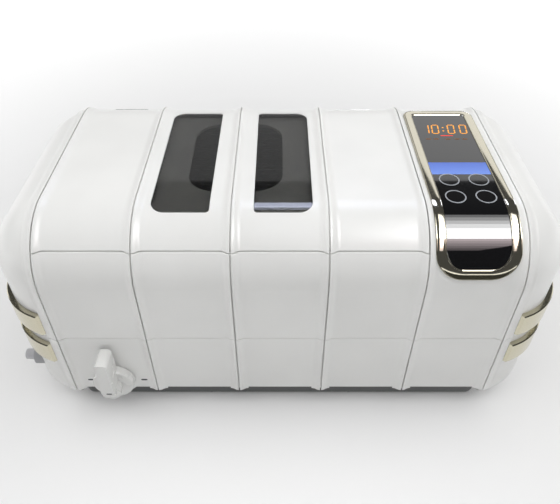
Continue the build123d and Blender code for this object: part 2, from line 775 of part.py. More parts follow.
def hinge_half(leaf_angles, screw_angle, spans):
    """Leaf and knuckles on one side of the axis, for both hinges; spans are the knuckles' X ranges."""
    near, far_angle = [hinge_angle + angle for angle in leaf_angles]
    tongue = (near, hinge_angle) if near < hinge_angle else (hinge_angle, far_angle)
    halves = []
    for x in hinge_xs:
        half = shoulder_sector(x - hinge_width / 2, x + hinge_width / 2, near, far_angle)
        for x0, x1 in spans:
            half = half + knuckle(x + x0, x + x1, *tongue)
        half = half - cylinder_x(pin_radius + pin_fit, x - hinge_width, x + hinge_width, hinge_y, hinge_z)
        for screw_x, angle in hinge_screw_places(screw_angle):
            half = half - on_shoulder(screw_x, angle, 0) * Cylinder(screw_radius, 4 * wall)
            half = half - countersink(screw_x, angle, screw_fit / 2)
        halves.append(half)
    return halves


def lid_hinge_leaves():
    inner = knuckle_width / 2
    return hinge_half(lid_leaf_angles, lid_screw_angle, [(-inner, inner)])


def housing_hinge_leaves():
    start = knuckle_width / 2 + knuckle_gap
    end = hinge_width / 2
    return hinge_half(housing_leaf_angles, housing_screw_angle, [(-end, -start), (start, end)])


def hinge_pins():
    half = hinge_width / 2 + 0.6
    return [cylinder_x(pin_radius, x - half, x + half, hinge_y, hinge_z) for x in hinge_xs]


# ---- tank ----------------------------------------------------------------------------------
def tank_flange_plate(z0, z1, width, grow=0.0):
    length = tank_length + 2 * width
    depth = tank_depth + 2 * width
    return rounded_plate(length, depth, tank_corner_radius + width + grow, z0, z1, lid_x)


def tank():
    """Deep-drawn steel tank with a flat flange, a drain hole and screw holes."""
    outer = rounded_plate(tank_length + 2 * tank_wall, tank_depth + 2 * tank_wall,
                          tank_corner_radius + tank_wall, horn_top_z, flange_top_z, lid_x)
    outer = fillet(outer.faces().sort_by(Axis.Z)[0].edges(), tank_bottom_radius + tank_wall)
    inner = rounded_plate(tank_length, tank_depth, tank_corner_radius, tank_floor_z, far, lid_x)
    inner = fillet(inner.faces().sort_by(Axis.Z)[0].edges(), tank_bottom_radius)
    body = outer + tank_flange_plate(flange_top_z - tank_wall, flange_top_z, tank_flange_width)
    body = body - inner
    for x, y in tank_screw_places():
        body = body - cylinder_z(screw_radius + screw_fit, deck_z - 1, far, x, y)
    return body - cylinder_z(flow_radius, 0, tank_floor_z + 1, drain_x, drain_y)


def tank_gasket():
    """Flat gasket between the flange and the deck."""
    low = deck_z
    high = deck_z + gasket_thickness
    ring = tank_flange_plate(low, high, tank_flange_width - 0.5)
    ring = ring - tank_flange_plate(low, high, tank_flange_width - 0.5 - gasket_width)
    for x, y in tank_screw_places():
        ring = ring - cylinder_z(screw_radius + screw_fit, 0, far, x, y)
    return ring


def tank_screws():
    length = flange_top_z - deck_z + deck_thickness + 1
    return [screw_z(x, y, flange_top_z, length, -1) for x, y in tank_screw_places()]


def slot_grid(length, width):
    """Centres of a grid of slots that fills a rectangle."""
    nx = int(length / basket_slot_pitch[0])
    ny = int(width / basket_slot_pitch[1])
    xs = [(i - (nx - 1) / 2) * basket_slot_pitch[0] for i in range(nx)]
    ys = [(j - (ny - 1) / 2) * basket_slot_pitch[1] for j in range(ny)]
    return [(x, y) for x in xs for y in ys]


def basket():
    """Slotted basket on four feet that lifts out of the tank."""
    z0 = basket_base_z
    z1 = z0 + basket_height
    tray = rounded_plate(basket_length, basket_width, basket_radius, z0, z1, lid_x)
    tray = tray - rounded_plate(basket_length - 2 * basket_wall, basket_width - 2 * basket_wall,
                                basket_radius - basket_wall, z0 + basket_wall, far, lid_x)
    slot_x, slot_y = basket_slot
    cutters = [span_box(lid_x + x - slot_x / 2, lid_x + x + slot_x / 2, y - slot_y / 2, y + slot_y / 2,
                        z0 - 1, z0 + 2)
               for x, y in slot_grid(basket_length - 30, basket_width - 20)]
    middle_z = (z0 + z1) / 2
    cutters += [span_box(lid_x + x - slot_x / 2, lid_x + x + slot_x / 2, -far, far,
                         middle_z + z - slot_y / 2, middle_z + z + slot_y / 2)
                for x, z in slot_grid(basket_length - 30, basket_height - 20)]
    tray = tray - cutters
    for x, y in corners((basket_length - 60, basket_width - 40), lid_x):
        tray = tray + cylinder_z(basket_foot_radius, tank_floor_z, z0, x, y)
    return tray


def transducer_xs():
    return [lid_x + transducer_pitch * (i - (transducer_count - 1) / 2) for i in range(transducer_count)]


def transducer_levels():
    """Heights of the joints in a transducer stack, from the tank downwards."""
    horn = horn_top_z - horn_height
    first = horn - piezo_thickness
    middle = first - electrode_thickness
    second = middle - piezo_thickness
    low = second - electrode_thickness
    return horn, first, middle, second, low, low - back_mass_height


def transducer_horns():
    horn_z = transducer_levels()[0]
    horns = []
    for x in transducer_xs():
        cone = Pos(x, 0, (horn_top_z + horn_z) / 2) * Cone(horn_low_radius, horn_top_radius, horn_height)
        horns.append(cone - cylinder_z(transducer_bolt_radius, horn_z - 1, horn_top_z - 5, x, 0))
    return horns


def ring_z(outer, inner, z0, z1, x, y=0.0):
    return cylinder_z(outer, z0, z1, x, y) - cylinder_z(inner, z0 - 1, z1 + 1, x, y)


def piezo_rings():
    horn, first, middle, second, low, end = transducer_levels()
    spans = [(first, horn), (second, middle)]
    return [ring_z(piezo_radius, piezo_bore, z0, z1, x) for x in transducer_xs() for z0, z1 in spans]


def electrodes():
    """Copper contact rings between the piezo rings and under them, each with a solder tab."""
    horn, first, middle, second, low, end = transducer_levels()
    rings = []
    for x in transducer_xs():
        for z0, z1 in ((middle, first), (low, second)):
            ring = ring_z(piezo_radius, piezo_bore, z0, z1, x)
            tab_y = piezo_radius + electrode_tab
            rings.append(ring + span_box(x - 2, x + 2, piezo_radius - 1, tab_y, z0, z1))
    return rings


def back_masses():
    horn, first, middle, second, low, end = transducer_levels()
    return [ring_z(piezo_radius, transducer_bolt_radius, end, low, x) for x in transducer_xs()]


def transducer_bolts():
    horn, first, middle, second, low, end = transducer_levels()
    bolts = []
    for x in transducer_xs():
        shank = cylinder_z(transducer_bolt_radius, end, horn + horn_height - 6, x, 0)
        bolts.append(shank + cylinder_z(transducer_head_radius, end - transducer_head_height, end, x, 0))
    return bolts


def heater_pad():
    """Silicone heater bonded to the back wall of the tank."""
    y = tank_depth / 2 + tank_wall
    middle = (tank_floor_z + flange_top_z) / 2
    return span_box(lid_x - heater_size[0] / 2, lid_x + heater_size[0] / 2, y, y + heater_thickness,
                    middle - heater_size[1] / 2, middle + heater_size[1] / 2)


def temperature_sensor():
    """Thermistor in a round can against the right end of the tank."""
    x = lid_x + tank_length / 2 + tank_wall
    middle = (tank_floor_z + flange_top_z) / 2
    return cylinder_x(sensor_radius, x, x + sensor_length, 0, middle)


# ---- drain ---------------------------------------------------------------------------------
def drain_fitting():
    """Flanged fitting under the tank floor with a tail for the hose."""
    low = horn_top_z - 9
    body = cylinder_z(flow_radius + 5, horn_top_z - 3, horn_top_z, drain_x, drain_y)
    body = body + cylinder_z(hose_bore - glue_gap, low, horn_top_z - 3, drain_x, drain_y)
    return body - cylinder_z(tail_bore, low - 1, horn_top_z + 1, drain_x, drain_y)


def hose_path():
    """From the tail of the valve cap to the right, then back, then up to the drain fitting."""
    start = valve_x + valve_length / 2 + 1.5
    points = [(start, valve_y, valve_z), (drain_x, valve_y, valve_z), (drain_x, drain_y, valve_z),
              (drain_x, drain_y, horn_top_z - 3.5)]
    return FilletPolyline(*points, radius=drain_bend)


def drain_hose():
    """Hose from the valve to the drain fitting."""
    path = hose_path()
    start = valve_x + valve_length / 2 + 1.5
    plane = Plane(origin=(start, valve_y, valve_z), z_dir=(1, 0, 0))
    outer = sweep(plane * Circle(hose_radius), path=path)
    inner = sweep(plane * Circle(hose_bore), path=path)
    return outer - inner


def valve_body():
    """Round body on the X axis with a chamber for the ball and a neck through the front wall."""
    x0 = valve_x - valve_length / 2
    x1 = valve_x + valve_length / 2
    body = cylinder_x(valve_radius, x0, x1, valve_y, valve_z)
    neck_y = -half_y - neck_front
    body = body + cylinder_y(neck_radius, neck_y, valve_y, valve_x, valve_z)
    body = body - cylinder_x(valve_chamber_radius, x0 + valve_end_wall, x1 + 1, valve_y, valve_z)
    body = body - cylinder_x(spout_tube_radius - 1, x0 - 1, x0 + 5, valve_y, valve_z)
    return body - cylinder_y(stem_radius + stem_fit, neck_y - 1, valve_y, valve_x, valve_z)


def valve_cap():
    """Plug that closes the chamber and carries the hose tail."""
    x1 = valve_x + valve_length / 2
    plug = cylinder_x(valve_chamber_radius, x1 - valve_end_wall, x1, valve_y, valve_z)
    plug = plug + cylinder_x(valve_radius - 1, x1, x1 + 1.4, valve_y, valve_z)
    plug = plug + cylinder_x(hose_bore - glue_gap, x1 + 1.4, x1 + 12, valve_y, valve_z)
    return plug - cylinder_x(tail_bore, x1 - 5, x1 + 13, valve_y, valve_z)


def valve_seats():
    """Two rings that the ball turns between."""
    rings = []
    for side in (-1, 1):
        outer_x = valve_x + side * (valve_length / 2 - valve_end_wall)
        inner_x = valve_x + side * (ball_radius - seat_cover)
        ring = cylinder_x(valve_chamber_radius, inner_x, outer_x, valve_y, valve_z)
        ring = ring - cylinder_x(flow_radius, valve_x - far, valve_x + far, valve_y, valve_z)
        rings.append(ring - Pos(valve_x, valve_y, valve_z) * Rot(0, 0, 90) * Sphere(ball_radius + stem_fit))
    return rings


def valve_ball():
    """Ball with its bore upright at rest, across the flow: the valve is shut."""
    ball = Pos(valve_x, valve_y, valve_z) * Sphere(ball_radius)
    ball = ball - cylinder_z(flow_radius, 0, far, valve_x, valve_y)
    slot = span_box(valve_x - 1.5, valve_x + 1.5, valve_y - far, valve_y - ball_radius + 2.5, 0, far)
    return ball - slot


def valve_stem():
    """Stem from the slot in the ball to the knob."""
    tang_y = valve_y - ball_radius + 2.5
    collar_y = valve_y - valve_chamber_radius
    stem = cylinder_y(stem_radius, knob_face_y() - 1.5, collar_y, valve_x, valve_z)
    tang = span_box(valve_x - 1.4, valve_x + 1.4, collar_y, tang_y, valve_z - 2.4, valve_z + 2.4)
    return stem + tang


def valve_nut():
    """Hexagon nut that clamps the neck of the valve to the front wall."""
    y0 = -half_y - nut_thickness
    hexagon = extrude(RegularPolygon(nut_across / 2, 6, major_radius=False), nut_thickness)
    nut = Pos(valve_x, -half_y, valve_z) * Rot(90, 0, 0) * hexagon
    return nut - cylinder_y(neck_radius + 0.05, y0 - 1, -half_y + 1, valve_x, valve_z)


def stem_seal():
    """Ring in the mouth of the neck round the stem."""
    y0 = -half_y - neck_front - 1.0
    ring = cylinder_y(neck_radius - 1, y0, -half_y - neck_front, valve_x, valve_z)
    return ring - cylinder_y(stem_radius + stem_fit, y0 - 1, -half_y, valve_x, valve_z)


def knob_face_y():
    """Back of the solid part of the knob, in front of the nut."""
    return -half_y - knob_gap - knob_recess_depth


def drain_knob():
    """Round knob with an upright lever and a rounded hub; the recess behind it clears the nut."""
    back_y = -half_y - knob_gap
    front_y = back_y - knob_thickness
    disc = cylinder_y(knob_radius, front_y, back_y, valve_x, valve_z)
    disc = fillet(disc.faces().sort_by(Axis.Y)[0].edges(), 1.5)
    lever_y = -half_y - lever_proud
    lever = span_box(valve_x - lever_width / 2, valve_x + lever_width / 2, lever_y, front_y,
                     valve_z, lever_top_z)
    lever = fillet(lever.edges().filter_by(Axis.Y).group_by(Axis.Z)[-1], lever_width * 0.35)
    hub = cylinder_y(hub_radius, lever_y + 4, front_y, valve_x, valve_z)
    neck = span_box(valve_x - lever_width / 2, valve_x + lever_width / 2, front_y, back_y - 2,
                    valve_z, lever_top_z)
    neck = fillet(neck.edges().filter_by(Axis.Y).group_by(Axis.Z)[-1], lever_width * 0.35)
    knob = disc + lever + hub + neck
    knob = knob - cylinder_y(knob_recess_radius, knob_face_y(), 0, valve_x, valve_z)
    return knob - cylinder_y(stem_radius, knob_face_y() - 1.5, 0, valve_x, valve_z)


def drain_spout():
    """Outlet tube from the valve through the left end cap."""
    x0 = valve_x - valve_length / 2
    tube = cylinder_x(spout_tube_radius, spout_tip_x + spout_nozzle, x0, valve_y, valve_z)
    tube = tube + cylinder_x(spout_radius, spout_tip_x, spout_tip_x + spout_nozzle, valve_y, valve_z)
    return tube - cylinder_x(spout_bore, spout_tip_x - 1, x0 + 1, valve_y, valve_z)


def spout_grommet():
    """Rubber ring round the tube where it leaves the end cap."""
    x0 = spout_tip_x + spout_nozzle
    ring = cylinder_x(grommet_radius - glue_gap, x0, x0 + grommet_length, valve_y, valve_z)
    return ring - cylinder_x(spout_tube_radius, x0 - 1, x0 + grommet_length + 1, valve_y, valve_z)


# ---- handles -------------------------------------------------------------------------------
def plan_block(offset, z0, z1):
    """Prism on the plan outline of the housing, moved outwards by offset."""
    return rounded_plate(housing_length + 2 * offset, housing_depth + 2 * offset, plan_radius + offset,
                         z0, z1)


def handle_bar(side, z):
    """Bar that wraps round one end of the housing from the front rib to the back rib."""
    end = rib_xs[-1] + rib_width / 2 + handle_end_gap
    reach = span_box(side * end, side * far, -far, far, -far, far)
    z1 = z + handle_height
    outline = plan_block(handle_offset, z, z1) & reach
    outer_edges = [edge for edge in outline.edges() if on_outer_rim(edge)]
    outline = chamfer(outer_edges, handle_edge)
    end_edges = [edge for edge in outline.edges().filter_by(Axis.Z) if abs(edge.center().Y) > half_y + 1]
    outline = chamfer(end_edges, handle_bevel)
    bar = outline - plan_block(glue_gap / 2, z - 1, z1 + 1)
    free = pocket_half_width - glue_gap
    grip = (plan_block(glue_gap, z, z1) - plan_block(-handle_inner, z - 1, z1 + 1))
    bar = bar + (grip & span_box(side * end, side * far, -free, free, -far, far))
    for screw_side, y, screw_z_place in handle_screw_places():
        hole = (side * (half_x - 1), side * (half_x + handle_offset - 1))
        bar = bar - cylinder_x(screw_radius, *hole, y, screw_z_place)
    return bar


def on_outer_rim(edge):
    """True for the level edges along the outer face of a bar."""
    box = edge.bounding_box()
    middle = edge.position_at(0.5)
    level = box.size.Z < 0.001
    cut_end = box.size.X < 0.001 and abs(middle.X) < half_x - 1
    return level and not cut_end


def handle_screws():
    """Screws from inside the end caps into the bars."""
    screws = []
    for side, y, z in handle_screw_places():
        seat = side * (half_x - wall)
        tip = side * (half_x + handle_offset - 1.2)
        shank = cylinder_x(screw_radius, seat, tip, y, z)
        screws.append(shank + cylinder_x(screw_head_radius, seat - side * screw_head_height, seat, y, z))
    return screws


# ---- control panel -------------------------------------------------------------------------
def panel_bezel():
    """Raised metal frame on the skin round the glass."""
    x0 = panel_x - bezel_width / 2
    x1 = panel_x + bezel_width / 2
    band = shoulder_band(glue_gap, bezel_height, x0, x1)
    band = band & panel_outline(bezel_width, bezel_back_y, bezel_low_z, bezel_back_radius, bezel_low_radius)
    return band - panel_outline(glass_width, glass_back_y, glass_low_z, glass_back_radius, glass_low_radius)


def panel_glass():
    """Glossy curved panel over the display and the touch keys."""
    x0 = panel_x - glass_width / 2
    x1 = panel_x + glass_width / 2
    outline = panel_outline(glass_width, glass_back_y, glass_low_z, glass_back_radius, glass_low_radius,
                            -glass_gap)
    return shoulder_band(glue_gap, glass_rise, x0, x1) & outline


def key_places():
    return [(panel_x + side * key_spacing / 2, y) for y in key_ys for side in (-1, 1)]


def key_rings():
    """Printed ring of each touch key, on the glass."""
    low = glass_rise
    high = glass_rise + key_ring_height
    rings = []
    for x, y in key_places():
        ring = ring_z(key_radius, key_radius - key_ring_width, 0, far, x, y)
        rings.append(shoulder_band(low, high, x - key_radius, x + key_radius) & ring)
    return rings


def led_display():
    """Four-digit display module on the control board, just under the glass."""
    x = display_size[0] / 2
    y = display_size[1] / 2
    return span_box(panel_x - x, panel_x + x, display_y - y, display_y + y, board_top_z, top_z - glue_gap)


def touch_pads():
    """Sprung contact under each touch key, from the board to the glass."""
    return [cylinder_z(key_radius / 2, board_top_z, top_z - 3 * glue_gap, x, y + 1) for x, y in key_places()]


def control_board():
    board = span_box(panel_x - control_board_size[0] / 2, panel_x + control_board_size[0] / 2,
                     control_board_y - control_board_size[1] / 2,
                     control_board_y + control_board_size[1] / 2, control_board_z, board_top_z)
    for x, y in board_screw_places():
        board = board - cylinder_z(screw_radius + screw_fit, 0, far, x, y)
    return board


def board_screws():
    """Screws of the control board, from below, and of the generator board, from above."""
    top = power_board_z + board_thickness
    under_panel = [screw_z(x, y, control_board_z, board_screw_length) for x, y in board_screw_places()]
    return under_panel + [screw_z(x, y, top, board_screw_length, -1) for x, y in power_screw_places()]


# ---- power parts ---------------------------------------------------------------------------
def generator_board():
    top = power_board_z + board_thickness
    board = span_box(power_board_x - power_board_size[0] / 2, power_board_x + power_board_size[0] / 2,
                     -power_board_size[1] / 2, power_board_size[1] / 2, power_board_z, top)
    for x, y in power_screw_places():
        board = board - cylinder_z(screw_radius + screw_fit, 0, far, x, y)
    return board


def output_transformer():
    """Ring-core transformer that drives the transducers."""
    low = power_board_z + board_thickness
    return ring_z(transformer_radius, transformer_hole, low, low + transformer_height,
                  power_board_x, transformer_y)


def heat_sink():
    """Finned sink of the switching transistors."""
    low = power_board_z + board_thickness
    x0 = power_board_x - sink_size[0] / 2
    sink = span_box(x0, x0 + sink_size[0], sink_y - sink_size[1] / 2, sink_y + sink_size[1] / 2,
                    low, low + sink_size[2])
    pitch = sink_size[0] / sink_fins
    for i in range(sink_fins):
        gap_x = x0 + (i + 0.5) * pitch
        sink = sink - span_box(gap_x - pitch / 4, gap_x + pitch / 4, -far, far, low + 5, far)
    return sink


def capacitors():
    low = power_board_z + board_thickness
    return [cylinder_z(capacitor_radius, low, low + capacitor_height, power_board_x + side * 11, y)
            for y in capacitor_ys for side in (-1, 1)]


def fan_frame():
    """Square frame with a round bore, a hub on three struts and the axle of the rotor."""
    y1 = half_y - wall
    y0 = y1 - fan_thickness
    half = fan_size / 2
    frame = span_box(fan_x - half, fan_x + half, y0, y1, fan_z - half, fan_z + half)
    frame = frame - cylinder_y(fan_bore, y0 - 1, y1 + 1, fan_x, fan_z)
    for x, z in fan_screw_places():
        frame = frame - cylinder_y(screw_radius, y0 - 1, y1 + 1, x, z)
    frame = frame + cylinder_y(fan_hub_radius, y1 - 3, y1, fan_x, fan_z)
    for angle in (90, 210, 330):
        strut = Pos(fan_hub_radius + 7, 0, 0) * Box(16, 3, 2)
        frame = frame + Pos(fan_x, y1 - 1.5, fan_z) * Rot(0, angle, 0) * strut
    return frame + cylinder_y(fan_axle_radius, y0 + 2, y1 - 2, fan_x, fan_z)


def fan_rotor():
    """Hub with pitched blades that turns on the axle."""
    y1 = half_y - wall - 3.5
    y0 = half_y - wall - fan_thickness + 1
    middle = (y0 + y1) / 2
    rotor = cylinder_y(fan_hub_radius, y0, y1, fan_x, fan_z)
    reach = fan_tip_radius - fan_hub_radius + 2
    for i in range(fan_blades):
        blade = Pos(fan_hub_radius - 2 + reach / 2, 0, 0) * Rot(35, 0, 0) * Box(reach, 1.0, 13)
        rotor = rotor + Pos(fan_x, middle, fan_z) * Rot(0, 360 * i / fan_blades, 0) * blade
    rotor = rotor & cylinder_y(fan_tip_radius, y0, y1, fan_x, fan_z)
    return rotor - cylinder_y(fan_axle_radius + fan_axle_fit, y0 + 0.6, y1 + 1, fan_x, fan_z)


def fan_screws():
    return [screw_y(x, z, half_y, wall + fan_thickness - 2, -1) for x, z in fan_screw_places()]


def inlet_blade_shapes():
    """Three contact blades, from the solder tags behind the body to just inside the socket's mouth."""
    front = half_y + inlet_flange_thickness - inlet_blade_recess
    back = half_y - wall - inlet_depth - inlet_tag
    x, z = inlet_blade_size
    return [span_box(inlet_x + dx - x / 2, inlet_x + dx + x / 2, back, front,
                     inlet_z + dz - z / 2, inlet_z + dz + z / 2)
            for dx, dz in inlet_blade_places]


def mains_inlet():
    """Moulded appliance inlet: flange outside, body inside, deep socket."""
    y1 = half_y + inlet_flange_thickness
    y0 = half_y - wall - inlet_depth
    x = inlet_size[0] / 2
    z = inlet_size[1] / 2
    body = span_box(inlet_x - x, inlet_x + x, y0, half_y, inlet_z - z, inlet_z + z)
    flange = span_box(inlet_x - inlet_flange[0] / 2, inlet_x + inlet_flange[0] / 2, half_y, y1,
                      inlet_z - inlet_flange[1] / 2, inlet_z + inlet_flange[1] / 2)
    flange = fillet(flange.edges().filter_by(Axis.Y), inlet_flange_radius)
    x = x - inlet_walls[0]
    z = z - inlet_walls[1]
    inlet = body + flange - span_box(inlet_x - x, inlet_x + x, y1 - inlet_socket_depth, far,
                                     inlet_z - z, inlet_z + z)
    for blade in inlet_blade_shapes():
        inlet = inlet - blade
    for px, pz in inlet_screw_places():
        inlet = inlet - cylinder_y(screw_radius + screw_fit, 0, far, px, pz)
    return inlet


def inlet_screws():
    y = half_y + inlet_flange_thickness
    return [screw_y(x, z, y, inlet_flange_thickness + wall + 2, -1) for x, z in inlet_screw_places()]


# ---- export --------------------------------------------------------------------------------
def all_pieces():
    """Every node by name; a group of identical pieces is a list of solids."""
    skin = ribbed_skin()
    return {
        "upper_housing": upper_housing(skin),
        "lower_housing": lower_housing(skin),
        "base_pan": base_pan(),
        "base_screws": base_screws(),
        "rubber_feet": rubber_feet(),
        "lid_shell": lid_shell(skin),
        "lid_window": lid_window(),
        "lid_liner": lid_liner(),
        "liner_screws": liner_screws(),
        "lid_seal": lid_seal(),
        "lid_hinge_leaves": lid_hinge_leaves(),
        "housing_hinge_leaves": housing_hinge_leaves(),
        "lid_hinge_screws": hinge_screws(lid_screw_angle),
        "housing_hinge_screws": hinge_screws(housing_screw_angle),
        "hinge_pins": hinge_pins(),
        "tank": tank(),
        "tank_gasket": tank_gasket(),
        "tank_screws": tank_screws(),
        "basket": basket(),
        "transducer_horns": transducer_horns(),
        "piezo_rings": piezo_rings(),
        "electrodes": electrodes(),
        "back_masses": back_masses(),
        "transducer_bolts": transducer_bolts(),
        "heater_pad": heater_pad(),
        "temperature_sensor": temperature_sensor(),
        "drain_fitting": drain_fitting(),
        "drain_hose": drain_hose(),
        "valve_body": valve_body(),
        "valve_cap": valve_cap(),
        "valve_seats": valve_seats(),
        "valve_ball": valve_ball(),
        "valve_stem": valve_stem(),
        "valve_nut": valve_nut(),
        "stem_seal": stem_seal(),
        "drain_knob": drain_knob(),
        "drain_spout": drain_spout(),
        "spout_grommet": spout_grommet(),
        "left_upper_handle": handle_bar(-1, upper_handle_z),
        "left_lower_handle": handle_bar(-1, lower_handle_z),
        "right_upper_handle": handle_bar(1, upper_handle_z),
        "right_lower_handle": handle_bar(1, lower_handle_z),
        "handle_screws": handle_screws(),
        "panel_bezel": panel_bezel(),
        "panel_glass": panel_glass(),
        "key_rings": key_rings(),
        "led_display": led_display(),
        "touch_pads": touch_pads(),
        "control_board": control_board(),
        "board_screws": board_screws(),
        "generator_board": generator_board(),
        "output_transformer": output_transformer(),
        "heat_sink": heat_sink(),
        "capacitors": capacitors(),
        "fan_frame": fan_frame(),
        "fan_rotor": fan_rotor(),
        "fan_screws": fan_screws(),
        "mains_inlet": mains_inlet(),
        "inlet_blades": inlet_blade_shapes(),
        "inlet_screws": inlet_screws(),
    }


def solids_of(shapes):
    """Flat list of the solids in a shape or a list of shapes."""
    if isinstance(shapes, (list, tuple)):
        return [solid for shape in shapes for solid in solids_of(shape)]
    return list(shapes.solids())


def main():
    os.makedirs("parts", exist_ok=True)
    for name, shapes in all_pieces().items():
        solids = [Pos(0, y_shift, 0) * solid for solid in solids_of(shapes)]
        piece = solids[0] if len(solids) == 1 else Compound(children=solids)
        export_step(piece, f"parts/{name}.step")


if __name__ == "__main__":
    main()
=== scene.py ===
import math

import bpy
import numpy as np
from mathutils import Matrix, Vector


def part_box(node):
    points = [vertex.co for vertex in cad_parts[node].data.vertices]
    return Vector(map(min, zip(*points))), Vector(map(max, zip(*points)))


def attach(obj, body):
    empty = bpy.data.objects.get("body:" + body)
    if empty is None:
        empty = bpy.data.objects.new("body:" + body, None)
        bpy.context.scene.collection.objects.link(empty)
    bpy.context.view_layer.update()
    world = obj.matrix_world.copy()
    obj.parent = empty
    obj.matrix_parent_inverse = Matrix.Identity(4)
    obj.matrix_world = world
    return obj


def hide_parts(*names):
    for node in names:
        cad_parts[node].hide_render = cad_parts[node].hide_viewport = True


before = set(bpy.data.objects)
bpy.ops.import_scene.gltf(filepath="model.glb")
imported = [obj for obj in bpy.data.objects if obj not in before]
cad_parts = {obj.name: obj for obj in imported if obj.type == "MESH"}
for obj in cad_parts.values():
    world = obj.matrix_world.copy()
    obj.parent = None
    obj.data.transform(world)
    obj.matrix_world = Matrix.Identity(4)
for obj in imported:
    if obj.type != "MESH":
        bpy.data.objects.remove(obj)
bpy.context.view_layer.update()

bl_info = {
    "name": "Ultrasonic cleaner",
    "version": (1, 0, 0),
    "blender": (4, 5, 0),
    "location": "View3D > Sidebar > Cleaner",
    "description": "Finishes, panel ring, display and stage for a bench ultrasonic cleaner",
    "category": "Object",
}

MM = 0.001


# ---- colour and node helpers ----------------------------------------------------------------
def linear(hex_colour):
    """sRGB hex text to linear RGB with alpha 1."""
    values = [int(hex_colour[i:i + 2], 16) / 255 for i in (1, 3, 5)]
    return [v / 12.92 if v <= 0.04045 else ((v + 0.055) / 1.055) ** 2.4 for v in values] + [1.0]


def add(tree, kind, settings=None, **sockets):
    """Adds one node: settings are its properties; sockets are input values or the outputs linked to
    them, named by the socket (spaces as underscores) or by its number, as i0."""
    node = tree.nodes.new(kind)
    for name, value in (settings or {}).items():
        setattr(node, name, value)
    for key, value in sockets.items():
        numbered = key[0] == "i" and key[1:].isdigit()
        socket = node.inputs[int(key[1:]) if numbered else key.replace("_", " ")]
        if isinstance(value, bpy.types.NodeSocket):
            tree.links.new(value, socket)
        else:
            socket.default_value = value
    return node


def new_material(name):
    """Empty node material with a Principled shader joined to its output."""
    material = bpy.data.materials.new(name)
    material.use_nodes = True
    tree = material.node_tree
    tree.nodes.clear()
    shader = add(tree, "ShaderNodeBsdfPrincipled")
    output = add(tree, "ShaderNodeOutputMaterial")
    tree.links.new(shader.outputs["BSDF"], output.inputs["Surface"])
    return material, tree, shader


def place(tree):
    """Object coordinates, which are metres in the frame."""
    return add(tree, "ShaderNodeTexCoord").outputs["Object"]


def noise(tree, size_mm, detail=3.0, where=None):
    """Noise whose features are about size_mm across."""
    vector = where if where is not None else place(tree)
    return add(tree, "ShaderNodeTexNoise", Vector=vector, Scale=1 / (size_mm * MM), Detail=detail,
               Roughness=0.5).outputs["Fac"]


def ramp(tree, value, low, high, out_low, out_high):
    """Maps low..high to out_low..out_high, clamped."""
    return add(tree, "ShaderNodeMapRange", i0=value, i1=low, i2=high, i3=out_low, i4=out_high).outputs[0]


def blend_colour(tree, fac, first, second):
    """Colour mix of two hex colours or colour outputs."""
    pair = [linear(c) if isinstance(c, str) else c for c in (first, second)]
    node = add(tree, "ShaderNodeMix", {"data_type": "RGBA"}, i0=fac, i6=pair[0], i7=pair[1])
    return node.outputs[2]


def bump(tree, height, depth_mm):
    """Bump of a real depth."""
    return add(tree, "ShaderNodeBump", Height=height, Distance=depth_mm * MM, Strength=1.0).outputs[0]


def connect(tree, output, shader, socket):
    """Links an output to a named socket of a shader."""
    tree.links.new(output, shader.inputs[socket])


# ---- materials ------------------------------------------------------------------------------
def moulded_plastic(name, light, dark, roughness=0.3):
    """Injection-moulded ABS: an even body colour with very slight clouding, a soft orange-peel skin and
    broad, soft highlights."""
    material, tree, shader = new_material(name)
    clouds = noise(tree, 60, 2)
    connect(tree, blend_colour(tree, ramp(tree, clouds, 0.35, 0.65, 0, 1), dark, light), shader, "Base Color")
    rub = noise(tree, 22, 3)
    connect(tree, ramp(tree, rub, 0.3, 0.7, roughness - 0.02, roughness + 0.03), shader, "Roughness")
    shader.inputs["IOR"].default_value = 1.53
    peel_size, peel_depth = 1.1, 0.006
    connect(tree, bump(tree, noise(tree, peel_size, 2), peel_depth), shader, "Normal")
    return material


def brushed_metal(name, light, dark, roughness=0.16, line_mm=0.25, along="X", depth_mm=0.002):
    """Plated or rolled metal with fine polishing lines along one axis, seen as slightly streaked
    highlights. The real lines are finer than these, which are drawn coarse enough to show."""
    material, tree, shader = new_material(name)
    stretch = {"X": (0.03, 1, 1), "Y": (1, 0.03, 1)}[along]
    lines = add(tree, "ShaderNodeMapping", Vector=place(tree), Scale=stretch).outputs[0]
    streak = noise(tree, line_mm, 2, where=lines)
    connect(tree, blend_colour(tree, streak, dark, light), shader, "Base Color")
    connect(tree, ramp(tree, streak, 0.3, 0.7, roughness - 0.04, roughness + 0.05), shader, "Roughness")
    connect(tree, bump(tree, streak, depth_mm), shader, "Normal")
    shader.inputs["Metallic"].default_value = 1.0
    return material


def moulded_rubber(name, light, dark, roughness=0.65):
    """Moulded rubber: dull, with a fine matt grain and no clear highlight. The grain is drawn coarser than
    the real one, so that it shows."""
    material, tree, shader = new_material(name)
    grain = noise(tree, 0.6, 4)
    connect(tree, blend_colour(tree, grain, dark, light), shader, "Base Color")
    connect(tree, ramp(tree, grain, 0.3, 0.7, roughness - 0.06, roughness + 0.08), shader, "Roughness")
    connect(tree, bump(tree, grain, 0.03), shader, "Normal")
    return material


def smoked_acrylic(name):
    """Smoke-tinted acrylic sheet: clear, neutral grey and glossy, with a faint haze of fine scratches."""
    material, tree, shader = new_material(name)
    haze = noise(tree, 18, 3)
    connect(tree, blend_colour(tree, haze, "#A3A3A1", "#ACACAA"), shader, "Base Color")
    connect(tree, ramp(tree, noise(tree, 1.2, 3), 0.3, 0.7, 0.02, 0.05), shader, "Roughness")
    shader.inputs["Transmission Weight"].default_value = 1.0
    shader.inputs["IOR"].default_value = 1.49
    shader.inputs["Coat Weight"].default_value = 0.6
    shader.inputs["Coat Roughness"].default_value = 0.02
    return material


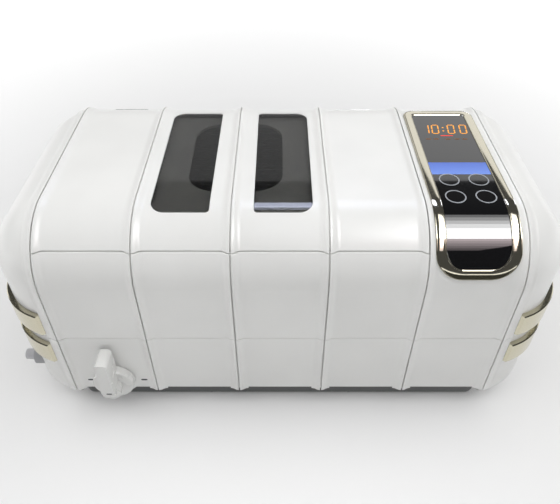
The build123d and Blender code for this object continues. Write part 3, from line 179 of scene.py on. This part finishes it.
def between(tree, value, low, high):
    """1 where value lies between low and high, otherwise 0."""
    above = add(tree, "ShaderNodeMath", {"operation": "GREATER_THAN"}, i0=value, i1=low)
    below = add(tree, "ShaderNodeMath", {"operation": "LESS_THAN"}, i0=value, i1=high)
    both = add(tree, "ShaderNodeMath", {"operation": "MULTIPLY"}, i0=above.outputs[0], i1=below.outputs[0])
    return both.outputs[0]


def panel_print(name, band):
    """Glossy front panel: near-black acrylic under a hard clear coat, printed from behind with a blue
    band that is lighter along its lower edge."""
    material, tree, shader = new_material(name)
    depth = add(tree, "ShaderNodeSeparateXYZ", Vector=place(tree)).outputs["Y"]
    ink = blend_colour(tree, noise(tree, 14, 3), "#08080A", "#0D0D10")
    blue = blend_colour(tree, ramp(tree, depth, band[0], band[1], 0, 1), "#5C8BF0", "#2E62D2")
    connect(tree, blend_colour(tree, between(tree, depth, *band), ink, blue), shader, "Base Color")
    connect(tree, ramp(tree, noise(tree, 2.5, 3), 0.3, 0.7, 0.03, 0.06), shader, "Roughness")
    shader.inputs["IOR"].default_value = 1.49
    shader.inputs["Coat Weight"].default_value = 1.0
    shader.inputs["Coat Roughness"].default_value = 0.02
    return material


def circuit_board(name):
    """Glass-epoxy circuit board: green lacquer over copper tracks, with a slight weave."""
    material, tree, shader = new_material(name)
    tracks = add(tree, "ShaderNodeTexBrick", {"offset": 0.5}, Vector=place(tree), Scale=1 / (6 * MM),
                 Mortar_Size=0.06, Color1=linear("#1D5B33"), Color2=linear("#174C2A"),
                 Mortar=linear("#3C8A50"))
    connect(tree, tracks.outputs["Color"], shader, "Base Color")
    connect(tree, ramp(tree, noise(tree, 1, 2), 0.3, 0.7, 0.28, 0.42), shader, "Roughness")
    return material


def lit_segment(name, dark, light, strength):
    """Lit LED segment under a diffuser: an even glow, a little hotter in patches."""
    material, tree, shader = new_material(name)
    glow = blend_colour(tree, noise(tree, 2, 2), dark, light)
    connect(tree, glow, shader, "Base Color")
    connect(tree, glow, shader, "Emission Color")
    shader.inputs["Emission Strength"].default_value = strength
    shader.inputs["Roughness"].default_value = 0.4
    return material


# ---- places read from the frame ---------------------------------------------------------------
RIB_HEIGHT = 2.2 * MM
CAD_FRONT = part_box("lower_housing")[0][1] + RIB_HEIGHT    # plane of the front wall between the ribs
TOP_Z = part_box("upper_housing")[1][2] - RIB_HEIGHT        # plane of the top between the ribs
SHOULDER = 46.0 * MM                                      # radius between the top and the front wall
GLASS_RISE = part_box("panel_glass")[1][2] - TOP_Z
BEZEL_LOW, BEZEL_HIGH = [np.array(corner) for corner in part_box("panel_bezel")]
GLASS_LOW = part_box("panel_glass")[0]
PANEL_X = (BEZEL_LOW[0] + BEZEL_HIGH[0]) / 2
KNOB_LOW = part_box("drain_knob")[0]
BALL_LOW, BALL_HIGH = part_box("valve_ball")
VALVE_X = (BALL_LOW[0] + BALL_HIGH[0]) / 2
VALVE_Z = (BALL_LOW[2] + BALL_HIGH[2]) / 2


class CleanerSizes(bpy.types.PropertyGroup):
    """Sizes and colours that a user would change."""
    shell: bpy.props.StringProperty(name="Shell", description="Moulded housing and lid", default="#F3F3F1")
    metal: bpy.props.StringProperty(name="Ring metal", description="Plated panel ring", default="#E9E4D2")
    handles: bpy.props.StringProperty(name="Handle metal", description="Plated handle bars",
                                      default="#DCD7C3")
    crown: bpy.props.FloatProperty(name="Ring crown", description="Rise of the panel ring between its edges",
                                   default=0.4 * MM, min=0, unit="LENGTH")
    bead: bpy.props.FloatProperty(name="Ring bead", description="Height of the bright bead on each edge",
                                  default=0.22 * MM, min=0, unit="LENGTH")
    digit_height: bpy.props.FloatProperty(name="Digit height", description="Height of the display's digits",
                                          default=13.6 * MM, min=0, unit="LENGTH")
    minutes: bpy.props.IntProperty(name="Minutes", description="Time that the display shows",
                                   default=10, min=0, max=99)


# ---- mesh helpers -----------------------------------------------------------------------------
def new_piece(name, points, faces, material, body, smooth=True):
    """Mesh object from an (n, 3) array of points and a list or array of faces, riding on a body."""
    mesh = bpy.data.meshes.new(name)
    mesh.from_pydata(points.tolist(), [], faces if isinstance(faces, list) else faces.tolist())
    mesh.polygons.foreach_set("use_smooth", [smooth] * len(mesh.polygons))
    mesh.materials.append(material)
    mesh.update()
    piece = bpy.data.objects.new(name, mesh)
    bpy.context.scene.collection.objects.link(piece)
    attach(piece, body)
    return piece


def closed_grid_faces(rows, columns):
    """Quads of a grid that closes on itself both ways, as on a ring with a closed section."""
    row, column = np.meshgrid(np.arange(rows), np.arange(columns), indexing="ij")
    row, column = row.ravel(), column.ravel()
    next_row, next_column = (row + 1) % rows, (column + 1) % columns
    return np.stack([row * columns + column, row * columns + next_column,
                     next_row * columns + next_column, next_row * columns + column], axis=1)


def on_skin(x, run, height):
    """Point on the housing's skin. The run is measured along the skin from the line where the top turns
    into the shoulder: backwards on the top it is negative, then it is arc length round the shoulder, then
    distance down the front. The height is square to the skin."""
    quarter = SHOULDER * math.pi / 2
    angle = np.clip(run, 0, quarter) / SHOULDER
    radius = SHOULDER + height
    centre_y, centre_z = CAD_FRONT + SHOULDER, TOP_Z - SHOULDER
    y = centre_y - radius * np.sin(angle) - np.minimum(run, 0)
    z = centre_z + radius * np.cos(angle) - np.maximum(run - quarter, 0)
    return np.stack(np.broadcast_arrays(x, y, z), axis=-1)


def run_of_height(z):
    """Run of a point of the shoulder or the front wall from its height."""
    if z > TOP_Z - SHOULDER:
        return SHOULDER * math.acos((z - TOP_Z + SHOULDER) / SHOULDER)
    return SHOULDER * math.pi / 2 + TOP_Z - SHOULDER - z


def panel_loop(box_low, box_high, far_radius, near_radius, straight, arc):
    """Outline of a panel laid out flat, as x and run: four straights and four quarter circles, each with
    its own count of points, so that two outlines match point for point."""
    half = (box_high[0] - box_low[0]) / 2
    back = CAD_FRONT + SHOULDER - box_high[1]
    front = run_of_height(box_low[2])
    step = np.linspace(0, 1, straight, endpoint=False)
    turn = np.linspace(0, math.pi / 2, arc, endpoint=False)
    corners = ((half - far_radius, back + far_radius, far_radius, 0),
               (-half + far_radius, back + far_radius, far_radius, 1),
               (-half + near_radius, front - near_radius, near_radius, 2),
               (half - near_radius, front - near_radius, near_radius, 3))
    xs, runs = [], []
    for index, (cx, cr, radius, quarter) in enumerate(corners):
        angle = turn + quarter * math.pi / 2
        xs.append(cx + radius * np.cos(angle))
        runs.append(cr - radius * np.sin(angle))
        end_angle = (quarter + 1) * math.pi / 2
        next_cx, next_cr, next_radius, _ = corners[(index + 1) % 4]
        outwards = np.array((math.cos(end_angle), -math.sin(end_angle)))
        start = np.array((cx, cr)) + radius * outwards
        stop = np.array((next_cx, next_cr)) + next_radius * outwards
        line = start + step[:, None] * (stop - start)
        xs.append(line[:, 0])
        runs.append(line[:, 1])
    return np.concatenate(xs), np.concatenate(runs)


def finish_nodes(material, *nodes):
    """Gives carried-over nodes one material."""
    for node in nodes:
        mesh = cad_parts[node].data
        mesh.materials.clear()
        mesh.materials.append(material)


class CLEANER_OT_housing(bpy.types.Operator):
    """Finish the moulded housing, base and feet"""
    bl_idname = "cleaner.housing"
    bl_label = "Housing"

    def execute(self, context):
        sizes = context.scene.cleaner_sizes
        shell = moulded_plastic("moulded_abs_white", sizes.shell, "#EFEFED")
        finish_nodes(shell, "upper_housing", "lower_housing", "lid_shell")
        pan = moulded_plastic("moulded_abs_grey", "#676968", "#5F6160", 0.38)
        finish_nodes(pan, "base_pan")
        rubber = moulded_rubber("moulded_rubber_black", "#1E1E1F", "#141415")
        finish_nodes(rubber, "rubber_feet", "stem_seal")
        finish_nodes(moulded_rubber("moulded_rubber_grey", "#B4B5B8", "#A6A7AA", 0.5), "spout_grommet")
        return {"FINISHED"}


class CLEANER_OT_lid(bpy.types.Operator):
    """Finish the lid's window, liner and seal"""
    bl_idname = "cleaner.lid"
    bl_label = "Lid window and liner"

    def execute(self, context):
        finish_nodes(smoked_acrylic("smoked_acrylic"), "lid_window")
        finish_nodes(moulded_plastic("moulded_abs_liner", "#BDBDBB", "#B4B4B2", 0.4), "lid_liner")
        finish_nodes(moulded_rubber("silicone_rubber_grey", "#8E9192", "#7F8283", 0.5), "lid_seal",
                     "tank_gasket")
        return {"FINISHED"}


class CLEANER_OT_metal(bpy.types.Operator):
    """Finish the handles, hinges, tank, basket, screws and other metal parts"""
    bl_idname = "cleaner.metal"
    bl_label = "Metal parts"

    def execute(self, context):
        sizes = context.scene.cleaner_sizes
        trim = brushed_metal("champagne_chrome_plate", sizes.handles, "#C6C0A8", 0.17, 0.6, "Y", 0.006)
        finish_nodes(trim, "left_upper_handle", "left_lower_handle", "right_upper_handle",
                     "right_lower_handle")
        steel = brushed_metal("stainless_steel_brushed", "#C6C8CA", "#B4B7B9", 0.28)
        finish_nodes(steel, "tank", "basket", "lid_hinge_leaves", "housing_hinge_leaves")
        zinc = brushed_metal("zinc_plated_steel", "#B9BBC0", "#A5A8AD", 0.32, 0.15)
        finish_nodes(zinc, "base_screws", "liner_screws", "lid_hinge_screws", "housing_hinge_screws",
                     "hinge_pins", "tank_screws", "handle_screws", "board_screws", "fan_screws",
                     "inlet_screws", "transducer_bolts")
        finish_nodes(brushed_metal("turned_aluminium", "#CDCFD1", "#BDBFC1", 0.3, 0.2), "transducer_horns")
        finish_nodes(brushed_metal("turned_steel", "#8D9094", "#7C7F83", 0.35, 0.2), "back_masses")
        finish_nodes(brushed_metal("machined_brass", "#C9A653", "#B5924A", 0.25, 0.2), "drain_fitting",
                     "valve_body", "valve_cap", "valve_stem", "valve_nut", "inlet_blades")
        finish_nodes(brushed_metal("copper_sheet", "#B87850", "#A2663F", 0.3, 0.2), "electrodes",
                     "touch_pads")
        finish_nodes(brushed_metal("chromed_ball", "#D5D6D8", "#C9CACD", 0.08), "valve_ball")
        return {"FINISHED"}


class CLEANER_OT_panel(bpy.types.Operator):
    """Finish the control panel's glass and keys"""
    bl_idname = "cleaner.panel"
    bl_label = "Control panel"

    def execute(self, context):
        band_near, band_far = CAD_FRONT + 76.0 * MM, CAD_FRONT + 92.0 * MM
        finish_nodes(panel_print("acrylic_panel_black", (band_near, band_far)), "panel_glass")
        finish_nodes(moulded_plastic("screen_print_silver", "#A9ADB2", "#9CA0A6", 0.35), "key_rings")
        return {"FINISHED"}


class CLEANER_OT_panel_ring(bpy.types.Operator):
    """Make the convex polished ring round the control panel"""
    bl_idname = "cleaner.panel_ring"
    bl_label = "Panel ring"

    def execute(self, context):
        """The ring is a section carried round the panel's outline. Across the rim, with w from 0 at the
        outer edge to 1 at the inner edge, its height is the edge height plus the crown times one minus
        the 2.4th power of the distance from the middle, plus a bell-shaped bead near each edge. Each point
        lies between the matching points of the outer and inner outline, and the whole is bent over the
        shoulder by on_skin."""
        sizes = context.scene.cleaner_sizes
        outer_far, outer_near = 9.0 * MM, 20.0 * MM       # corner radii of the outer edge
        inner_far, inner_near = 3.0 * MM, 14.0 * MM       # corner radii of the inner edge
        glass_gap, foot, edge = 0.15 * MM, 0.05 * MM, 1.1 * MM
        straight, arc, rim_points = 60, 24, 41
        bead_inset, bead_width = 0.05, 0.022              # shares of the rim's width
        rim = GLASS_LOW[0] - BEZEL_LOW[0] - glass_gap
        outer = panel_loop(BEZEL_LOW, BEZEL_HIGH, outer_far, outer_near, straight, arc)
        inner_low = BEZEL_LOW + np.array((rim, 0, rim))
        inner_high = BEZEL_HIGH - np.array((rim, rim, 0))
        inner = panel_loop(inner_low, inner_high, inner_far, inner_near, straight, arc)
        across = (1 - np.cos(np.linspace(0, math.pi, rim_points))) / 2
        crown = edge + sizes.crown * (1 - np.abs(2 * across - 1) ** 2.4)
        for middle in (bead_inset, 1 - bead_inset):
            crown = crown + sizes.bead * np.exp(-((across - middle) / bead_width) ** 2)
        weight = np.concatenate(([0.0, 0.0], across, [1.0, 1.0]))
        height = np.concatenate(([foot, edge / 2], crown, [edge / 2, foot]))
        x = PANEL_X + outer[0][:, None] * (1 - weight) + inner[0][:, None] * weight
        run = outer[1][:, None] * (1 - weight) + inner[1][:, None] * weight
        points = on_skin(x, run, np.broadcast_to(height, x.shape)).reshape(-1, 3)
        trim = brushed_metal("champagne_chrome_ring", sizes.metal, "#DED8C4", 0.07, 0.3, "X", 0.0006)
        ring = new_piece("panel_ring", points, closed_grid_faces(*x.shape), trim, "housing")
        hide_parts("panel_bezel")
        return {"FINISHED"}


# Which of the seven bars are lit: top, upper right, lower right, bottom, lower left, upper left, middle.
SEGMENTS = {"0": "1111110", "1": "0110000", "2": "1101101", "3": "1111001", "4": "0110011",
            "5": "1011011", "6": "1011111", "7": "1110000", "8": "1111111", "9": "1111011"}


def raised_shapes(outline, places, turns, spans, low, high, bend):
    """Closed flat pieces. One outline with unit half sizes is scaled by each span, turned, and put at each
    place as whole arrays, then given a lower and an upper face at two heights; bend lays the flat plan and a
    height on a face of the object."""
    corners = len(outline)
    flat = outline[None] * spans[:, None]
    turn = np.stack([np.cos(turns), -np.sin(turns), np.sin(turns), np.cos(turns)], axis=1).reshape(-1, 2, 2)
    flat = np.einsum("nij,nkj->nki", turn, flat) + places[:, None]
    points = np.concatenate([bend(flat, low), bend(flat, high)], axis=1).reshape(-1, 3)
    base = np.arange(len(places))[:, None] * 2 * corners
    corner = np.arange(corners)
    following = np.roll(corner, -1)
    walls = np.stack([corner, following, corners + following, corners + corner], axis=1)
    faces = (base + corner[::-1]).tolist() + (base + corners + corner).tolist()
    return points, faces + (base[:, :, None] + walls).reshape(-1, 4).tolist()


def raised_piece(name, material, body, outline, places, turns, spans, low, high, bend):
    """One piece made of raised shapes, with crisp edges."""
    points, faces = raised_shapes(outline, places, turns, spans, low, high, bend)
    new_piece(name, points, faces, material, body, smooth=False)


def on_glass(flat, height):
    """Plan of x across and y back, laid on the panel at a height above the top."""
    return np.concatenate([flat, np.full(flat.shape[:-1] + (1,), TOP_Z + height)], axis=-1)


def on_upright(face_y):
    """Gives the bend that lays a plan of x across and z up on an upright face, a height out from it."""
    def bend(flat, height):
        return np.stack([flat[..., 0], np.full(flat.shape[:-1], face_y - height), flat[..., 1]], axis=-1)
    return bend


# Six-sided bar of the display, and a pill: the square roots of a circle's cosine and sine, with their signs.
BAR = np.array([(-1, 0), (-0.84, -1), (0.84, -1), (1, 0), (0.84, 1), (-0.84, 1)], float)
PILL_ANGLES = np.linspace(0, 2 * math.pi, 24, endpoint=False)
PILL = np.stack([np.sign(np.cos(angles)) * np.abs(np.cos(angles)) ** 0.5
                 for angles in (PILL_ANGLES, PILL_ANGLES - math.pi / 2)], axis=1)

# Middle of each of a digit's seven bars as shares of its width and height, and 1 where the bar is upright.
BAR_LAYOUT = np.array([(0, 1, 0), (0.5, 0.75, 1), (0.5, 0.25, 1), (0, 0, 0), (-0.5, 0.25, 1), (-0.5, 0.75, 1),
                       (0, 0.5, 0)])


class CLEANER_OT_display(bpy.types.Operator):
    """Make the lit digits, the bar and the dim marks of the display"""
    bl_idname = "cleaner.display"
    bl_label = "Display"

    def execute(self, context):
        """Each digit is seven six-sided bars round two squares, leaning a tenth of its height."""
        sizes = context.scene.cleaner_sizes
        height, width = sizes.digit_height, 5.2 * MM
        bar, bar_gap, dot, lean = 0.5 * MM, 0.35 * MM, 0.7 * MM, 0.1
        low, high = GLASS_RISE - 0.05 * MM, GLASS_RISE + 0.06 * MM
        digits_y, bar_y, marks_y = CAD_FRONT + 135.3 * MM, CAD_FRONT + 131.8 * MM, CAD_FRONT + 126.6 * MM
        starts = PANEL_X + np.array((-15.3, -7.2, 6.0, 16.0)) * MM
        places, turns, spans = [], [], []
        for start, digit in zip(starts, f"{sizes.minutes:02d}00"):
            lit = BAR_LAYOUT[np.array([c == "1" for c in SEGMENTS[digit]])]
            y = lit[:, 1] * height
            places.append(np.stack([start + lit[:, 0] * width + lean * y, digits_y + y], axis=1))
            turns.append(lit[:, 2] * (math.pi / 2 - lean))
            spans.append(np.where(lit[:, 2:3] > 0, (height / 4 - bar_gap, bar), (width / 2 - bar_gap, bar)))
        colon = np.array(((0.03, 0.3), (0.07, 0.7))) * height + (PANEL_X - 0.6 * MM, digits_y)
        places.append(colon)
        turns.append(np.zeros(2))
        spans.append(np.full((2, 2), dot))
        amber = lit_segment("led_amber", "#D98324", "#F0A63C", 0.75)
        raised_piece("display_digits", amber, "housing", BAR, np.concatenate(places), np.concatenate(turns),
                     np.concatenate(spans), low, high, on_glass)
        red = lit_segment("led_red", "#C22A20", "#E0392B", 0.8)
        raised_piece("display_bar", red, "housing", BAR, np.array(((PANEL_X + 0.9 * MM, bar_y),)),
                     np.zeros(1), np.array(((5.4 * MM, 0.6 * MM),)), low, high, on_glass)
        marks_x = PANEL_X + np.array((-15.0, -8.6, 0.9, 8.2, 14.6)) * MM
        count = len(marks_x)
        marks = np.stack([marks_x, np.full(count, marks_y)], axis=1)
        dim = lit_segment("led_amber_dim", "#5A3A1C", "#6E4822", 0.35)
        raised_piece("display_marks", dim, "housing", PILL, marks, np.zeros(count),
                     np.tile((2.1 * MM, 0.9 * MM), (count, 1)), low, high, on_glass)
        return {"FINISHED"}


class CLEANER_OT_drain(bpy.types.Operator):
    """Finish the drain knob, nozzle, seats and hose, and make the marks beside and on the knob"""
    bl_idname = "cleaner.drain"
    bl_label = "Drain"

    def execute(self, context):
        finish_nodes(moulded_plastic("moulded_abs_knob", "#EDEDEB", "#E6E6E4", 0.26), "drain_knob")
        finish_nodes(moulded_plastic("polypropylene_grey", "#CFCFD2", "#C5C5C9", 0.35), "drain_spout")
        finish_nodes(moulded_plastic("ptfe_white", "#F2F2F0", "#EAEAE8", 0.45), "valve_seats")
        finish_nodes(moulded_rubber("silicone_hose", "#D8D8D4", "#CCCCC8", 0.35), "drain_hose")
        ink = moulded_plastic("screen_print_dark", "#4A4A4C", "#3A3A3C", 0.5)
        sunk = -0.05 * MM
        dashes_z = VALVE_Z - 3.5 * MM
        dashes = np.array(((VALVE_X - 20.5 * MM, dashes_z), (VALVE_X + 23.5 * MM, dashes_z)))
        raised_piece("valve_dashes", ink, "housing", PILL, dashes, np.zeros(2),
                     np.tile((2.6 * MM, 0.95 * MM), (2, 1)), sunk, 0.08 * MM, on_upright(CAD_FRONT))
        mark = np.array(((VALVE_X + 0.4 * MM, VALVE_Z + 4.5 * MM),))
        raised_piece("knob_mark", ink, "drain_control", PILL, mark, np.zeros(1),
                     np.array(((2.2 * MM, 0.7 * MM),)), sunk, 0.06 * MM, on_upright(KNOB_LOW[1]))
        return {"FINISHED"}


class CLEANER_OT_electrics(bpy.types.Operator):
    """Finish the parts inside the housing and the mains inlet"""
    bl_idname = "cleaner.electrics"
    bl_label = "Electrics"

    def execute(self, context):
        finish_nodes(circuit_board("glass_epoxy_board"), "control_board", "generator_board")
        black = moulded_plastic("moulded_nylon_black", "#202022", "#17171A", 0.4)
        finish_nodes(black, "fan_frame", "fan_rotor", "mains_inlet", "led_display", "temperature_sensor")
        finish_nodes(moulded_plastic("varnished_ferrite", "#3A3B40", "#2F3035", 0.45), "output_transformer")
        finish_nodes(brushed_metal("extruded_aluminium", "#B9BBBE", "#A9ABAE", 0.35, 0.2, "Y"), "heat_sink")
        finish_nodes(moulded_plastic("sleeved_capacitor_black", "#26282E", "#1D1F25", 0.3), "capacitors")
        finish_nodes(moulded_plastic("piezo_ceramic", "#CFC3A6", "#C2B698", 0.5), "piezo_rings")
        finish_nodes(moulded_rubber("silicone_heater_red", "#A63A22", "#8F301C", 0.6), "heater_pad")
        return {"FINISHED"}


# ---- stage ------------------------------------------------------------------------------------
def softbox(name, centre, facing, size, radiance, colour="#FFFFFF", glossy=True, diffuse=True):
    """Soft rectangular light, unseen by the camera. Its power is radiance times area times pi."""
    data = bpy.data.lights.new(name, "AREA")
    data.shape = "RECTANGLE"
    data.size, data.size_y = size
    data.energy = radiance * size[0] * size[1] * math.pi
    data.color = linear(colour)[:3]
    lamp = bpy.data.objects.new(name, data)
    lamp.location = centre
    lamp.rotation_euler = Vector(facing).to_track_quat("-Z", "Y").to_euler()
    lamp.visible_camera = False
    lamp.visible_glossy = glossy
    lamp.visible_diffuse = diffuse
    bpy.context.scene.collection.objects.link(lamp)


def stage_piece(name, points, faces, colours, near_glow, far_glow):
    """Matt piece of the stage that glows a little, more so away from the object, as a lit paper sweep."""
    mesh = bpy.data.meshes.new(name)
    mesh.from_pydata(points, [], faces)
    piece = bpy.data.objects.new(name, mesh)
    bpy.context.scene.collection.objects.link(piece)
    material, tree, shader = new_material(name)
    tint = blend_colour(tree, noise(tree, 300, 2), *colours)
    connect(tree, tint, shader, "Base Color")
    connect(tree, tint, shader, "Emission Color")
    distance = add(tree, "ShaderNodeVectorMath", {"operation": "LENGTH"}, i0=place(tree)).outputs["Value"]
    connect(tree, ramp(tree, distance, 0.4, 1.3, near_glow, far_glow), shader, "Emission Strength")
    shader.inputs["Roughness"].default_value = 0.9
    shader.inputs["Specular IOR Level"].default_value = 0.0
    mesh.materials.append(material)
    return piece


def seen_only_by(piece, ray):
    """Hides a piece of the stage from every kind of ray but one."""
    for kind in ("camera", "diffuse", "glossy", "shadow", "transmission"):
        setattr(piece, "visible_" + kind, kind == ray)


def level_rectangle(low, high, z):
    """Corners of a rectangle that lies level, counted so that it faces up."""
    return [(low[0], low[1], z), (high[0], low[1], z), (high[0], high[1], z), (low[0], high[1], z)]


class CLEANER_OT_stage(bpy.types.Operator):
    """Add the pale floor, the soft lights and the camera"""
    bl_idname = "cleaner.stage"
    bl_label = "Stage"

    def execute(self, context):
        scene = context.scene
        reach, wall_height = 6.0, 5.0
        near_glow, far_glow = 0.17, 1.25
        paper = ("#E4E4E4", "#E8E8E8")
        floor = level_rectangle((-reach, -reach), (reach, reach), 0.0)
        stage_piece("paper_floor", floor, [(0, 1, 2, 3)], paper, near_glow, far_glow)
        ceiling = level_rectangle((-reach, -reach), (reach, reach), wall_height)
        sides = [(0, 4, 5, 1), (1, 5, 6, 2), (2, 6, 7, 3), (3, 7, 4, 0)]
        walls = stage_piece("paper_backdrop", floor + ceiling, sides, paper, far_glow, far_glow)
        seen_only_by(walls, "camera")
        # Low down, the front wall, the knob and the metal mirror this card in place of the bright floor.
        card_low, card_high = (-1.2, CAD_FRONT - 1.3), (1.2, CAD_FRONT - 0.13)
        card = stage_piece("dark_card", level_rectangle(card_low, card_high, 0.003), [(0, 1, 2, 3)],
                           ("#3A3A36", "#45453F"), 0.0, 0.0)
        seen_only_by(card, "glossy")
        world = bpy.data.worlds.new("studio")
        world.use_nodes = True
        background = world.node_tree.nodes["Background"]
        background.inputs["Color"].default_value = linear("#FFFFFF")
        background.inputs["Strength"].default_value = 0.07
        scene.world = world
        back_y, back_z, back_height = 1.5, 0.828, 0.856
        softbox("back_wall_right", (1.15, back_y, back_z), (0, -1, 0), (1.7, back_height), 0.85)
        softbox("back_wall_left", (-0.85, back_y, back_z), (0, -1, 0), (2.3, back_height), 0.24)
        # The strips over the panel rise and fall in brightness, so that its glass shows a soft band.
        lamp_z, down = 1.3, (0, 0, -1)
        strip_x, strip_width, pink_from = 0.575, 0.45, -0.85
        edges = (0.19, 0.08, -0.05, -0.18, -0.34, -0.56, -0.8, -0.92, -1.06, -1.22, -1.4, -1.6)
        radiances = (1.6, 3.4, 6.0, 9.0, 13.0, 15.0, 5.5, 4.0, 2.8, 1.8, 1.0)
        for index, (far, near, radiance) in enumerate(zip(edges, edges[1:], radiances)):
            tint = "#FFFFFF" if near > pink_from else "#FFEEF0"
            softbox(f"panel_strip_{index}", (strip_x, (near + far) / 2, lamp_z), down,
                    (strip_width, far - near), radiance, tint, diffuse=False)
        softbox("strip_window", (0.155, 0.84, lamp_z), down, (0.59, 0.4), 5.5, "#DDE4FF", diffuse=False)
        softbox("top_soft", (0, -0.14, lamp_z), (0, 0.06, -1), (2.2, 1.4), 2.1, glossy=False)
        for name, side in (("left_side", -1), ("right_side", 1)):
            softbox(name, (side * 1.4, 0.0, 0.6), (-side, 0, -0.3), (1.2, 0.8), 0.8, glossy=False)
        # The camera looks down at the object from close in front of it.
        ahead, above, tilt = 0.2774, 0.2417, 42.1
        camera = bpy.data.objects.new("camera", bpy.data.cameras.new("camera"))
        camera.data.sensor_width = 36.0
        camera.data.lens = 36.39
        camera.data.clip_start = 0.01
        camera.location = (0.0, CAD_FRONT - ahead, TOP_Z + above)
        camera.rotation_euler = (math.radians(90 - tilt), 0, 0)
        scene.collection.objects.link(camera)
        scene.camera = camera
        scene.view_settings.view_transform = "Standard"
        return {"FINISHED"}


class CLEANER_PT_sidebar(bpy.types.Panel):
    """Lists the pieces and the stage"""
    bl_idname = "CLEANER_PT_sidebar"
    bl_label = "Ultrasonic cleaner"
    bl_space_type = "VIEW_3D"
    bl_region_type = "UI"
    bl_category = "Cleaner"

    def draw(self, context):
        sizes = context.scene.cleaner_sizes
        for name in ("shell", "metal", "handles", "crown", "bead", "digit_height", "minutes"):
            self.layout.prop(sizes, name)
        for operator in OPERATORS:
            self.layout.operator(operator.bl_idname)


OPERATORS = (CLEANER_OT_stage, CLEANER_OT_housing, CLEANER_OT_lid, CLEANER_OT_metal, CLEANER_OT_panel,
             CLEANER_OT_panel_ring, CLEANER_OT_display, CLEANER_OT_drain, CLEANER_OT_electrics)
CLASSES = (CleanerSizes, *OPERATORS, CLEANER_PT_sidebar)


def register():
    for cls in CLASSES:
        bpy.utils.register_class(cls)
    bpy.types.Scene.cleaner_sizes = bpy.props.PointerProperty(type=CleanerSizes)


def unregister():
    del bpy.types.Scene.cleaner_sizes
    for cls in reversed(CLASSES):
        bpy.utils.unregister_class(cls)


def main():
    """Makes everything in order."""
    register()
    for operator in OPERATORS:
        group, name = operator.bl_idname.split(".")
        getattr(getattr(bpy.ops, group), name)()


if __name__ == "__main__":
    main()
